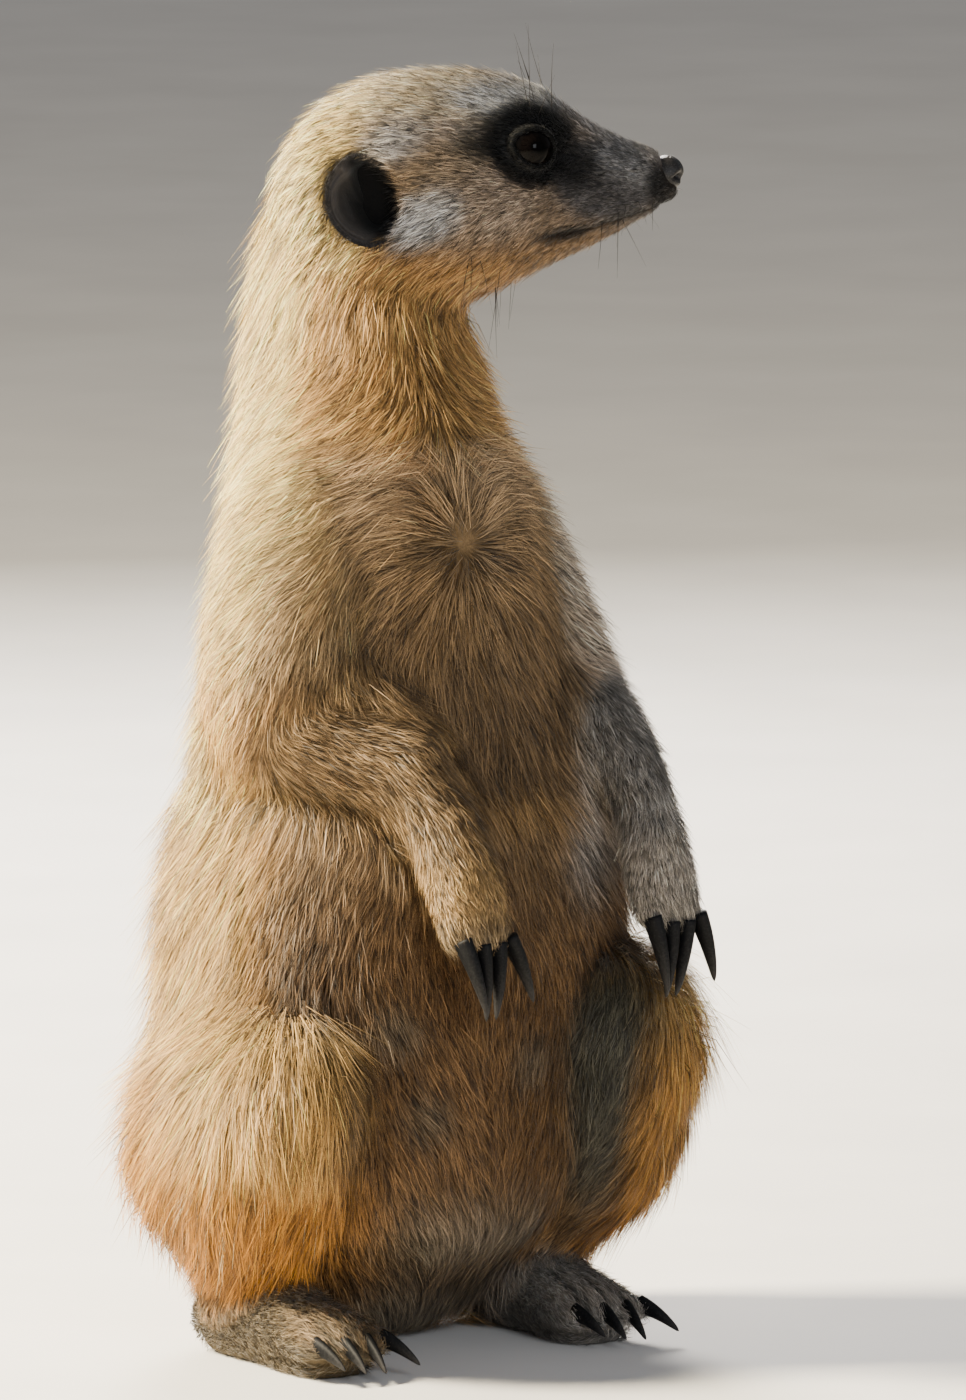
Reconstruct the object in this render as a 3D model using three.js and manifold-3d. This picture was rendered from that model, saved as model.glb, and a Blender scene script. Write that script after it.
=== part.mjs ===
// A life-size meerkat sitting upright on its haunches, head turned to its left, hands hanging in
// front of the belly and tail curled on the floor behind. The solids reach to the tips of the coat.
//
// Millimetres. +Z is up, -Y is the way the chest faces and +X is the animal's left. The origin is
// the middle of the small flat under the rump, on the floor.
//
// Every fleshy part is a loft: a stack of rounded rings over a few named stations. Neighbouring
// parts overlap as lofts, and then one of each pair is cut back by a slightly grown copy of the other.
import * as THREE from "three";
import { mergeVertices } from "three/addons/utils/BufferGeometryUtils.js";
import Module from "manifold-3d";

const wasm = await Module();
wasm.setup();

// ---- Driving dimensions ----
const GAP = 0.35; // between neighbouring parts
const SIDES = { right: -1, left: 1 }; // the animal's own, and their signs along X
const HEAD_BASE = new THREE.Vector3(0, 2.5, 234.3); // on the neck's axis, at the height of the ears
const HEAD_YAW = 55; // degrees to the animal's left of the chest
const HEAD_BREADTH = 47;
const EYE_RADIUS = 4.9;
const EYE = { ahead: 36.3, aside: 11.9, up: 12.2 };
const EAR = { ahead: 0.6, aside: 20.8, up: 3, lean: 16, turn: 14 };
const EAR_RADII = [8.6, 5.2, 10.6]; // ahead, aside and up
const EAR_BOWL = { ahead: 2.2, aside: 4.6, radii: [6.2, 5.4, 8] };
const NOSE = { ahead: 63, aside: 0, up: 5.3 };
const NOSE_RADII = [3.7, 4.1, 3.7]; // ahead, aside and up
const DIGITS = 4;
const HAND_CLAW = { length: 14, radius: 2, curl: 2.6, sunk: 1 };
const FOOT_CLAW = { length: 8.5, radius: 1.7, curl: 1.6, sunk: 1 };
const TAIL_MIDDLE_FROM = 0.3; // shares of the tail's length
const TAIL_TIP_FROM = 0.76;
const TAIL_JOINT = 0.002; // the gap between lengths of tail, as a share
const WAIST_CUT = 116; // heights that part the abdomen, the thorax and the neck
const NECK_CUT = 191;
const ROOM_REACH = 400; // half the side of the block that stands for the room above the floor

// ---- How finely each part is faceted ----
const BODY_SQUARENESS = 2.2; // of the rings of trunk and head, 2 being an ellipse
const TRUNK_DETAIL = { sides: 18, step: 13 };
const NECK_DETAIL = { sides: 16, step: 13 };
const HEAD_SIDES = 16;
const BALL_SEGMENTS = [12, 6]; // of the ears' shells
const SMALL_BALL_SEGMENTS = [10, 6]; // of the eyes, the nose and the ears' bowls
// The head's rings: how far forwards each stretch reaches, and the step between its rings.
const HEAD_STRETCHES = [
  { to: -8.5, step: 4 }, // nape
  { to: 24.5, step: 9 }, // skull
  { to: 65.2, step: 5.5 }, // face
];
const UPPER_ARM_DETAIL = { sides: 10, rings: 4 };
const FOREARM_DETAIL = { sides: 10, rings: 5 };
const HAND_DETAIL = { sides: 8, rings: 2, caps: [45] };
const THIGH_DETAIL = { sides: 12, rings: 4 };
const SHANK_DETAIL = { sides: 12, rings: 3 };
const FOOT_DETAIL = { sides: 8, rings: 2, caps: [45] };
const DIGIT_DETAIL = { sides: 5, rings: 1, caps: [45], span: [0.01, 1] }; // flat inside the palm
const TAIL_DETAIL = { sides: 10, breadth: [0, 0, 1] };
const TAIL_RINGS = 16;
const CLAW_SIDES = 5;
const CLAW_LEVELS = [0, 0.4, 0.82];
const CLAW_FLATNESS = 0.62; // a claw's breadth over its depth

// ---- Stations. `at` is the place along each loft's own axis ----
// Trunk and neck: at is the height, aside and back the ring's centre in X and Y, wide and deep its
// half sizes. The flank bulges on the left, where the weight rests.
const TRUNK = [
  { at: 0, aside: 0, back: 0, wide: 15, deep: 9 }, // the flat it sits on
  { at: 4, aside: 0, back: 2.5, wide: 22, deep: 14.5 },
  { at: 10, aside: 0, back: 3.5, wide: 28.5, deep: 19.5 },
  { at: 17, aside: 0, back: 0, wide: 33.5, deep: 26 },
  { at: 25, aside: 0, back: -4.5, wide: 37.5, deep: 32 }, // rump
  { at: 36, aside: 0, back: -6.5, wide: 41, deep: 36 },
  { at: 52, aside: 0, back: -6, wide: 43.5, deep: 38 }, // hips
  { at: 78, aside: 3, back: -5, wide: 48, deep: 39.5 }, // belly
  { at: 94, aside: 4.5, back: -5.5, wide: 49, deep: 38.5 },
  { at: 108, aside: 4.5, back: -6, wide: 46.5, deep: 36.5 },
  { at: 121, aside: 3.2, back: -5.5, wide: 42.5, deep: 35.3 }, // waist
  { at: 140, aside: 1.8, back: -5.5, wide: 36, deep: 34.5 },
  { at: 160, aside: 0, back: -7, wide: 31, deep: 33.5 }, // chest
  { at: 173, aside: 0, back: -6, wide: 29, deep: 31.5 },
  { at: 186, aside: 0, back: -3.5, wide: 26, deep: 29 }, // shoulders
  { at: 197, aside: 0, back: 0.5, wide: 22.5, deep: 26 },
  { at: 208, aside: 0, back: 2.8, wide: 20, deep: 24.3 }, // neck
  { at: 222, aside: 0, back: 3, wide: 18.2, deep: 21.7 },
  { at: 234, aside: 0, back: 3, wide: 16, deep: 18 }, // nape
  { at: 244, aside: 0, back: 3, wide: 12, deep: 13 },
];

// Head: at is the distance ahead of HEAD_BASE; top, level and bottom are heights from it, level
// being where the head is widest, and wide is the half width there.
const HEAD = [
  { at: -16.6, top: 5, level: 0, bottom: -4, wide: 5 },
  { at: -14, top: 11.5, level: 0, bottom: -10, wide: 12.5 },
  { at: -8.5, top: 18, level: 0, bottom: -16, wide: 18.8 }, // back of the skull
  { at: -2, top: 22.8, level: 0.5, bottom: -20, wide: 22 },
  { at: 6, top: 25.6, level: 0.5, bottom: -21.5, wide: 23.4 }, // ears
  { at: 14, top: 26.5, level: 0, bottom: -21.5, wide: 23.4 },
  { at: 24.5, top: 25.7, level: 0, bottom: -19.3, wide: 21 }, // cheeks
  { at: 32.5, top: 24.3, level: 1, bottom: -15.8, wide: 17.6 },
  { at: 37.7, top: 22.2, level: 2, bottom: -13.8, wide: 14.8 }, // brow
  { at: 42, top: 18.4, level: 2.4, bottom: -12.2, wide: 12.2 }, // stop
  { at: 49, top: 14.3, level: 2, bottom: -9, wide: 9 },
  { at: 57, top: 10.6, level: 2.8, bottom: -4.8, wide: 6.7 }, // muzzle
  { at: 62.5, top: 9, level: 3.8, bottom: -1.6, wide: 5 },
  { at: 65.2, top: 7.2, level: 4.3, bottom: 1, wide: 3 },
];
// The mouth is a straight slit from the nose back to the corner of the jaw.
const MOUTH = { front: { ahead: 66, up: 0.9 }, corner: { ahead: 34, up: -9.6 } };

// Limbs: each station is a centre with a half width across (along X) and a half depth.
// The two arms hang differently, and the left knee stands a little higher than the right.
const ARMS = {
  right: {
    upper: [
      { at: [-22, -10, 171], wide: 13, deep: 17 }, // shoulder
      { at: [-29, -12.5, 154], wide: 13.5, deep: 19.5 },
      { at: [-33.5, -14.5, 141], wide: 12.5, deep: 17 },
      { at: [-35.5, -16, 132], wide: 12, deep: 13.5 }, // elbow
    ],
    fore: [
      { at: [-35, -17, 131], wide: 11.5, deep: 12.5 },
      { at: [-28.5, -26, 128.5], wide: 11, deep: 11.3 },
      { at: [-19, -36, 123], wide: 9.8, deep: 9.8 },
      { at: [-13.5, -45.5, 114], wide: 8.9, deep: 8.9 },
      { at: [-12.3, -50.5, 105], wide: 8.6, deep: 8.6 }, // wrist
    ],
    hand: [
      { at: [-12.3, -51, 104], wide: 8.4, deep: 8.4 },
      { at: [-12.2, -53.5, 98], wide: 8.5, deep: 7.4 },
      { at: [-12, -56.5, 91.5], wide: 8.2, deep: 5.4 }, // knuckles
    ],
    point: [0.16, -0.36, -1],
  },
  left: {
    upper: [
      { at: [21, -9.5, 170], wide: 13, deep: 17 },
      { at: [28.5, -12.5, 152], wide: 12.5, deep: 17.5 },
      { at: [33.5, -16, 141], wide: 11.5, deep: 14.5 },
      { at: [36.5, -19, 134], wide: 11, deep: 12 },
    ],
    fore: [
      { at: [37, -20, 133], wide: 10.5, deep: 11.5 },
      { at: [37.3, -30, 128], wide: 9.3, deep: 9.8 },
      { at: [36.5, -41, 121], wide: 8, deep: 8.4 },
      { at: [35.3, -48.5, 113.5], wide: 7.4, deep: 7.6 },
      { at: [35, -52, 107], wide: 7.4, deep: 7.4 },
    ],
    hand: [
      { at: [35, -52.5, 106], wide: 7.3, deep: 7.3 },
      { at: [35, -54.5, 99], wide: 8, deep: 6.8 },
      { at: [35, -57, 92.5], wide: 8, deep: 5.2 },
    ],
    point: [0.06, -0.26, -1],
  },
};
const LEGS = {
  right: {
    thigh: [
      { at: [-27, 6, 40], wide: 23, deep: 26 }, // rump
      { at: [-30, -7, 46], wide: 24, deep: 27 },
      { at: [-37.5, -20, 53], wide: 19, deep: 23 },
      { at: [-39.5, -30, 57], wide: 16, deep: 17.5 }, // knee
    ],
    shank: [
      { at: [-38.5, -29, 50], wide: 16.5, deep: 16.5 },
      { at: [-39, -20, 36], wide: 17.5, deep: 18 },
      { at: [-37, -11, 26], wide: 14.5, deep: 15 },
      { at: [-36, -7, 14], wide: 8.5, deep: 9 }, // ankle
    ],
    foot: [
      { at: [-36, -1, 7.4], wide: 7.4, deep: 8.2 }, // heel
      { at: [-36, -16, 9.2], wide: 8, deep: 10.2 },
      { at: [-35.5, -29, 8.2], wide: 9.4, deep: 9.2 },
      { at: [-35, -38.5, 6.2], wide: 10.4, deep: 7.2 }, // ball
    ],
    point: [0.03, -1, -0.1],
  },
  left: {
    thigh: [
      { at: [27, 6, 42], wide: 23, deep: 26 },
      { at: [30.5, -9, 50], wide: 24, deep: 28 },
      { at: [35.5, -24, 60], wide: 21.5, deep: 24 },
      { at: [38.5, -35.5, 65.5], wide: 17.5, deep: 18 },
    ],
    shank: [
      { at: [38.8, -34, 56], wide: 17.5, deep: 17.5 },
      { at: [39.5, -25, 39], wide: 18, deep: 18.5 },
      { at: [37, -13, 27], wide: 14.5, deep: 15 },
      { at: [33.5, -5, 14], wide: 8.5, deep: 9 },
    ],
    foot: [
      { at: [30.5, 2, 7.4], wide: 7.4, deep: 8.2 },
      { at: [31, -12, 9.2], wide: 8, deep: 10.2 },
      { at: [31.5, -25, 8.2], wide: 9.4, deep: 9.2 },
      { at: [32, -34.5, 6.2], wide: 10.4, deep: 7.2 },
    ],
    point: [0.05, -1, -0.1],
  },
};
// Along the tail, wide is the half height instead.
const TAIL = [
  { at: [0, 16, 15], wide: 14, deep: 13 },
  { at: [1, 29, 12.2], wide: 12.8, deep: 12 },
  { at: [7, 48, 9.6], wide: 10, deep: 9.6 },
  { at: [21, 70, 8], wide: 8.4, deep: 8.2 },
  { at: [45, 91, 6.7], wide: 7, deep: 7 },
  { at: [73, 107, 5.7], wide: 6, deep: 6 },
  { at: [102, 117, 4.8], wide: 5.1, deep: 5.1 },
  { at: [126, 122, 4], wide: 4.4, deep: 4.4 },
  { at: [142, 124, 3], wide: 3.4, deep: 3.4 },
];

// ---- Colours ----
const coat = (color) => new THREE.MeshStandardMaterial({ color, roughness: 0.9, metalness: 0 });
const GOLD = coat(0xcfae7c);
const FAWN = coat(0xa88a68);
const GREY = coat(0x9c9282);
const RUFOUS = coat(0xbd8a52);
const BLACK = coat(0x1d1815);
const EYE_FINISH = new THREE.MeshStandardMaterial({ color: 0x160f0b, roughness: 0.08 });
const NOSE_FINISH = new THREE.MeshStandardMaterial({ color: 0x2a2422, roughness: 0.45 });
const HORN = new THREE.MeshStandardMaterial({ color: 0x2b2a2b, roughness: 0.35 });

const HAND_FORM = {
  spacing: 3.5,
  splay: 0.05,
  setBack: 1.2,
  length: 6.5,
  radius: 2.7,
  claw: HAND_CLAW,
  curlTo: [0, 1, -0.2],
  material: FAWN,
};
const FOOT_FORM = {
  spacing: 4.9,
  splay: 0.07,
  setBack: 1.6,
  length: 10.5,
  radius: 3.3,
  claw: FOOT_CLAW,
  curlTo: [0, -0.1, -1],
  material: GREY,
};

// ---- Lofting ----
const vector = ([x, y, z]) => new THREE.Vector3(x, y, z);

/** The station at place `at` on a smooth curve through every field of the stations. */
function stationAt(stations, at) {
  const last = stations.length - 1;
  const above = stations.findIndex((s, k) => k > 0 && at <= s.at);
  const i = above < 0 ? last - 1 : above - 1;
  const [a, b] = [stations[i], stations[i + 1]];
  const [before, after] = [stations[Math.max(i - 1, 0)], stations[Math.min(i + 2, last)]];
  const span = b.at - a.at;
  const t = THREE.MathUtils.clamp((at - a.at) / span, 0, 1);
  const found = { at };
  for (const key of Object.keys(a).filter((k) => k !== "at")) {
    const slopeA = ((b[key] - before[key]) / (b.at - before.at)) * span;
    const slopeB = ((after[key] - a[key]) / (after.at - a.at)) * span;
    found[key] =
      a[key] * (2 * t ** 3 - 3 * t ** 2 + 1) +
      slopeA * (t ** 3 - 2 * t ** 2 + t) +
      b[key] * (3 * t ** 2 - 2 * t ** 3) +
      slopeB * (t ** 3 - t ** 2);
  }
  return found;
}

/** Places from low to high, about `step` apart. */
function places(low, high, step) {
  const count = Math.max(1, Math.round((high - low) / step));
  return Array.from({ length: count + 1 }, (_, i) => low + ((high - low) * i) / count);
}

/** Point k of n round a unit superellipse, a little squarer than a circle above squareness 2. */
function onCircle(k, n, squareness = 2) {
  const angle = (2 * Math.PI * k) / n;
  const bend = (value) => Math.sign(value) * Math.abs(value) ** (2 / squareness);
  return [bend(Math.cos(angle)), bend(Math.sin(angle))];
}

/** A closed geometry over rings of equally many points, with a point to close each end on. */
function closedLoft(rings, poles = [rings[0], rings.at(-1)].map(middleOf)) {
  const sides = rings[0].length;
  const points = [...rings.flat(), ...poles];
  const faces = [];
  const lastRing = (rings.length - 1) * sides;
  for (let k = 0; k < sides; k++) {
    const next = (k + 1) % sides;
    for (let r = 0; r < lastRing; r += sides) {
      faces.push(r + k, r + next, r + sides + next, r + k, r + sides + next, r + sides + k);
    }
    faces.push(points.length - 2, next, k);
    faces.push(points.length - 1, lastRing + k, lastRing + next);
  }
  return new THREE.BufferGeometry().setFromPoints(points).setIndex(faces);
}

function middleOf(ring) {
  return ring.reduce((sum, p) => sum.add(p), new THREE.Vector3()).divideScalar(ring.length);
}

/** The closed geometry as a solid, turned to face out whichever way its rings ran. */
function solid(geometry) {
  const bare = geometry.clone();
  bare.deleteAttribute("normal");
  bare.deleteAttribute("uv");
  const merged = mergeVertices(bare, 1e-4);
  const vertProperties = merged.attributes.position.array;
  const triVerts = new Uint32Array(merged.index.array);
  const make = () => new wasm.Manifold(new wasm.Mesh({ numProp: 3, vertProperties, triVerts }));
  const made = make();
  if (made.volume() > 0) return made;
  triVerts.reverse();
  return make();
}

/** The trunk or neck between two heights, with flat ends. */
function trunkBetween(low, high, { sides, step }) {
  const rings = places(low, high, step).map((height) => {
    const s = stationAt(TRUNK, height);
    return Array.from({ length: sides }, (_, k) => {
      const [x, y] = onCircle(k, sides, BODY_SQUARENESS);
      return new THREE.Vector3(s.aside + x * s.wide, s.back + y * s.deep, height);
    });
  });
  return solid(closedLoft(rings));
}

/**
 * A limb over its stations, `wide` lying along the breadth direction. grow thickens it all over,
 * and span takes a stretch of its length. An end of the whole limb is round, with rings at the
 * angles in caps, and an end that the span cuts off is flat.
 */
function limb(stations, detail) {
  const { sides, rings: count, caps = [30, 60], breadth = [1, 0, 0], grow = 0 } = detail;
  const [from, to] = detail.span ?? [0, 1];
  const curve = new THREE.CatmullRomCurve3(stations.map((s) => vector(s.at)), false, "centripetal");
  const sizes = stations.map((s, i) => ({ at: i, wide: s.wide, deep: s.deep }));
  const ringAt = (u, shrink, slide) => {
    const size = stationAt(sizes, u * (stations.length - 1));
    const along = curve.getTangent(u);
    const across = vector(breadth);
    across.addScaledVector(along, -across.dot(along)).normalize();
    const deepAxis = new THREE.Vector3().crossVectors(along, across);
    const centre = curve.getPoint(u).addScaledVector(along, slide * (size.deep + grow));
    return Array.from({ length: sides }, (_, k) => {
      const [x, y] = onCircle(k, sides);
      return centre
        .clone()
        .addScaledVector(across, x * (size.wide + grow) * shrink)
        .addScaledVector(deepAxis, y * (size.deep + grow) * shrink);
    });
  };
  const roundEnd = (u, outward) =>
    caps
      .map(THREE.MathUtils.degToRad)
      .map((angle) => ringAt(u, Math.cos(angle), outward * Math.sin(angle)));
  const body = places(from, to, (to - from) / count).map((u) => ringAt(u, 1, 0));
  const start = from === 0 ? roundEnd(0, -1).reverse() : [];
  const end = to === 1 ? roundEnd(1, 1) : [];
  const poles = [
    from === 0 ? ringAt(0, 0, -1)[0] : middleOf(body[0]),
    to === 1 ? ringAt(1, 0, 1)[0] : middleOf(body.at(-1)),
  ];
  return solid(closedLoft([...start, ...body, ...end], poles));
}

// ---- Head frame ----
const headFrame = new THREE.Matrix4()
  .makeRotationZ(THREE.MathUtils.degToRad(HEAD_YAW - 90))
  .setPosition(HEAD_BASE);

/** A place on the head: ahead towards the nose, aside to the animal's left, and up. */
const onHead = (ahead, aside, up) => new THREE.Vector3(ahead, aside, up).applyMatrix4(headFrame);

/** The whole head with the muzzle, without eyes, ears or nose. */
function headLoft(grow = 0) {
  const stops = HEAD_STRETCHES.reduce(
    (found, { to, step }) => [...found, ...places(found.at(-1), to, step).slice(1)],
    [HEAD[0].at],
  );
  const rings = stops.map((at) => {
    const s = stationAt(HEAD, at);
    return Array.from({ length: HEAD_SIDES }, (_, k) => {
      const [y, z] = onCircle(k, HEAD_SIDES, BODY_SQUARENESS);
      const reach = (z > 0 ? s.top - s.level : s.level - s.bottom) + grow;
      return onHead(at, y * (s.wide + grow), s.level + z * reach);
    });
  });
  return solid(closedLoft(rings));
}

/** An ellipsoid on the head, leaning back and turned towards the animal's left, in degrees. */
function headBall({ ahead, aside, up }, radii, { lean = 0, turn = 0, segments = BALL_SEGMENTS } = {}) {
  const geometry = new THREE.SphereGeometry(1, ...segments)
    .rotateX(Math.PI / 2)
    .scale(...radii)
    .rotateY(THREE.MathUtils.degToRad(-lean))
    .rotateZ(THREE.MathUtils.degToRad(turn))
    .translate(ahead, aside, up)
    .applyMatrix4(headFrame);
  return solid(geometry);
}

/** The slab of head between two heights over the line of the mouth, from its corner forwards. */
function mouthSlab(low, high, behind) {
  const { front, corner } = MOUTH;
  const [run, rise] = [front.ahead - corner.ahead, front.up - corner.up];
  const length = behind + run + HEAD_BREADTH; // ends well ahead of the nose
  const geometry = new THREE.BoxGeometry(length, 2 * HEAD_BREADTH, high - low)
    .translate(length / 2 - behind, 0, (low + high) / 2)
    .rotateY(-Math.atan2(rise, run))
    .translate(corner.ahead, 0, corner.up)
    .applyMatrix4(headFrame);
  return solid(geometry);
}

// ---- Small pieces ----
/** A claw: a horn from its root that thins and curls. */
function claw(root, direction, curlTo, { length, radius, curl }, grow = 0) {
  const across = new THREE.Vector3().crossVectors(direction, curlTo).normalize();
  const centreAt = (u) =>
    root
      .clone()
      .addScaledVector(direction, length * u)
      .addScaledVector(curlTo, curl * u * u);
  const rings = CLAW_LEVELS.map((u) => {
    const thick = radius * Math.sqrt(1 - u) * (1 - 0.25 * u) + grow;
    return Array.from({ length: CLAW_SIDES }, (_, k) => {
      const [x, y] = onCircle(k, CLAW_SIDES);
      return centreAt(u)
        .addScaledVector(across, x * thick * CLAW_FLATNESS)
        .addScaledVector(curlTo, y * thick);
    });
  });
  return solid(closedLoft(rings, [centreAt(-grow / length), centreAt(1 + grow / length)]));
}

/** Where each digit of a hand or foot starts, and the way it points. */
function digitPlaces(stations, point, { spacing, splay, setBack }) {
  const direction = vector(point).normalize();
  return Array.from({ length: DIGITS }, (_, i) => {
    const offset = i - (DIGITS - 1) / 2; // the outer digits splay, and are set further back
    const root = vector(stations.at(-1).at)
      .add(new THREE.Vector3(offset * spacing, 0, 0))
      .addScaledVector(direction, -Math.abs(offset) * setBack);
    const spread = direction.clone().add(new THREE.Vector3(offset * splay, 0, 0));
    return { root, direction: spread.normalize() };
  });
}

/** A finger or toe: a short rounded rod. */
function digit({ root, direction }, { length, radius }) {
  const stations = [-radius, length - radius].map((reach) => ({
    at: root.clone().addScaledVector(direction, reach).toArray(),
    wide: radius,
    deep: radius,
  }));
  return limb(stations, DIGIT_DETAIL);
}

const union = (solids) => solids.reduce((sum, s) => sum.add(s));
const without = (base, cutters) => cutters.reduce((left, cutter) => left.subtract(cutter), base);

const room = new THREE.BoxGeometry(2 * ROOM_REACH, 2 * ROOM_REACH, ROOM_REACH);
const roomAboveFloor = solid(room.translate(0, 0, ROOM_REACH / 2));
const onFloor = (made) => made.intersect(roomAboveFloor);

// ---- Assembly ----
const meerkat = new THREE.Group();

/** Adds a solid as a named mesh, without the crumbs that a cut may leave beside it. */
function addNode(name, made, material) {
  const whole = made.decompose().sort((a, b) => b.volume() - a.volume())[0];
  const { numProp, vertProperties, triVerts, numVert } = whole.getMesh();
  const positions = new Float32Array(numVert * 3);
  for (let i = 0; i < numVert; i++) {
    positions.set(vertProperties.subarray(i * numProp, i * numProp + 3), i * 3);
  }
  const geometry = new THREE.BufferGeometry()
    .setAttribute("position", new THREE.BufferAttribute(positions, 3))
    .setIndex(new THREE.BufferAttribute(triVerts, 1));
  geometry.computeVertexNormals();
  const mesh = new THREE.Mesh(geometry, material);
  mesh.name = name;
  meerkat.add(mesh);
}

/** The abdomen, thorax and neck, cut back by the limbs and the head. */
function addTrunk() {
  const arms = Object.values(ARMS);
  const upperArms = arms.map((arm) => limb(arm.upper, { ...UPPER_ARM_DETAIL, grow: GAP }));
  const forearms = arms.map((arm) => limb(arm.fore, { ...FOREARM_DETAIL, grow: GAP }));
  const legs = Object.values(LEGS).flatMap((leg) => [
    limb(leg.thigh, { ...THIGH_DETAIL, grow: GAP }),
    limb(leg.shank, { ...SHANK_DETAIL, grow: GAP }),
    limb(leg.foot, { ...FOOT_DETAIL, grow: GAP }),
  ]);
  const top = TRUNK.at(-1).at;
  const abdomen = trunkBetween(0, WAIST_CUT, TRUNK_DETAIL);
  addNode("abdomen", without(abdomen, [...legs, ...forearms]), FAWN);
  const thorax = trunkBetween(WAIST_CUT + GAP, NECK_CUT, TRUNK_DETAIL);
  addNode("thorax", without(thorax, [...upperArms, ...forearms]), FAWN);
  const neck = trunkBetween(NECK_CUT + GAP, top, NECK_DETAIL);
  addNode("neck", neck.subtract(headLoft(GAP)), GOLD);
}

/** Adds both eyes and gives back their sockets. */
function addEyes() {
  return Object.entries(SIDES).map(([side, sign]) => {
    const place = { ...EYE, aside: sign * EYE.aside };
    const ball = (r) => headBall(place, [r, r, r], { segments: SMALL_BALL_SEGMENTS });
    addNode(`eye_${side}`, ball(EYE_RADIUS), EYE_FINISH);
    return ball(EYE_RADIUS + GAP);
  });
}

/** Adds both ears, each an oval shell around a bowl that opens forwards, and gives back the
 * hollows that they stand in. */
function addEars() {
  return Object.entries(SIDES).map(([side, sign]) => {
    const place = { ...EAR, aside: sign * EAR.aside };
    const bowlPlace = {
      ahead: EAR.ahead + EAR_BOWL.ahead,
      aside: sign * (EAR.aside + EAR_BOWL.aside),
      up: EAR.up,
    };
    const pose = { lean: EAR.lean, turn: sign * EAR.turn };
    const shell = (grow) => headBall(place, EAR_RADII.map((r) => r + grow), pose);
    const bowl = headBall(bowlPlace, EAR_BOWL.radii, { ...pose, segments: SMALL_BALL_SEGMENTS });
    addNode(`ear_${side}`, shell(0).subtract(bowl), BLACK);
    return shell(GAP);
  });
}

/** The head with all that is set into it. The mouth parts the lower jaw from the rest. */
function addHead() {
  const sockets = [...addEyes(), ...addEars()];
  const segments = SMALL_BALL_SEGMENTS;
  const nose = (grow) => headBall(NOSE, NOSE_RADII.map((r) => r + grow), { segments });
  addNode("nose", nose(0), NOSE_FINISH);
  const whole = without(headLoft(), [...sockets, nose(GAP)]);
  const upper = whole.subtract(mouthSlab(-HEAD_BREADTH, GAP / 2, GAP));
  addNode("head", upper, GREY);
  addNode("lower_jaw", whole.intersect(mouthSlab(-HEAD_BREADTH, -GAP / 2, 0)), FAWN);
}

/** Hand or foot with its digits, cut for its claws, and the claws as nodes of their own. */
function addExtremity(name, stations, point, detail, form) {
  const spots = digitPlaces(stations, point, form);
  const curlTo = vector(form.curlTo);
  const flesh = union([limb(stations, detail), ...spots.map((spot) => digit(spot, form))]);
  const claws = spots.map(({ root, direction }) => {
    const start = root.clone().addScaledVector(direction, form.length - form.claw.sunk);
    return (grow) => claw(start, direction, curlTo, form.claw, grow);
  });
  addNode(name, onFloor(without(flesh, claws.map((make) => make(GAP)))), form.material);
  claws.forEach((make, i) => addNode(`claw_${name}_${i + 1}`, onFloor(make(0)), HORN));
}

function addArms() {
  for (const [side, arm] of Object.entries(ARMS)) {
    const fore = (grow) => limb(arm.fore, { ...FOREARM_DETAIL, grow });
    const upper = limb(arm.upper, UPPER_ARM_DETAIL);
    const hand = limb(arm.hand, { ...HAND_DETAIL, grow: GAP });
    addNode(`upper_arm_${side}`, upper.subtract(fore(GAP)), GOLD);
    addNode(`forearm_${side}`, fore(0).subtract(hand), FAWN);
    addExtremity(`hand_${side}`, arm.hand, arm.point, HAND_DETAIL, HAND_FORM);
  }
}

function addLegs() {
  for (const [side, leg] of Object.entries(LEGS)) {
    const thigh = (grow) => limb(leg.thigh, { ...THIGH_DETAIL, grow });
    const foot = limb(leg.foot, { ...FOOT_DETAIL, grow: GAP });
    const shank = limb(leg.shank, SHANK_DETAIL);
    addNode(`thigh_${side}`, thigh(0).subtract(foot), GOLD);
    addNode(`shank_${side}`, onFloor(without(shank, [thigh(GAP), foot])), RUFOUS);
    addExtremity(`foot_${side}`, leg.foot, leg.point, FOOT_DETAIL, FOOT_FORM);
  }
}

/** The tail in three lengths, the last one black. */
function addTail() {
  const rump = trunkBetween(0, WAIST_CUT, TRUNK_DETAIL);
  const lengths = {
    tail_base: [0, TAIL_MIDDLE_FROM],
    tail_middle: [TAIL_MIDDLE_FROM, TAIL_TIP_FROM],
    tail_tip: [TAIL_TIP_FROM, 1],
  };
  for (const [name, [from, to]] of Object.entries(lengths)) {
    const start = from === 0 ? 0 : from + TAIL_JOINT;
    const rings = Math.round((to - from) * TAIL_RINGS);
    const stretch = onFloor(limb(TAIL, { ...TAIL_DETAIL, rings, span: [start, to] }));
    addNode(name, stretch.subtract(rump), name === "tail_tip" ? BLACK : GOLD);
  }
}

addTrunk();
addHead();
addArms();
addLegs();
addTail();

export default meerkat;
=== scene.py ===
"""The looks of a life-size meerkat that sits upright on its haunches: skin, coat, eyes, ears, nose,
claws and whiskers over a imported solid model.

Sizes in this file are millimetres, in the solid model's own frame: +Z up, -Y the way the chest
faces and +X the animal's left. Meshes are turned to metres where they are made.
"""

import itertools
import logging
import math
from dataclasses import dataclass, field
from enum import Enum

import bmesh
import bpy
import numpy as np
from mathutils import Matrix, Vector
from mathutils.bvhtree import BVHTree


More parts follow.
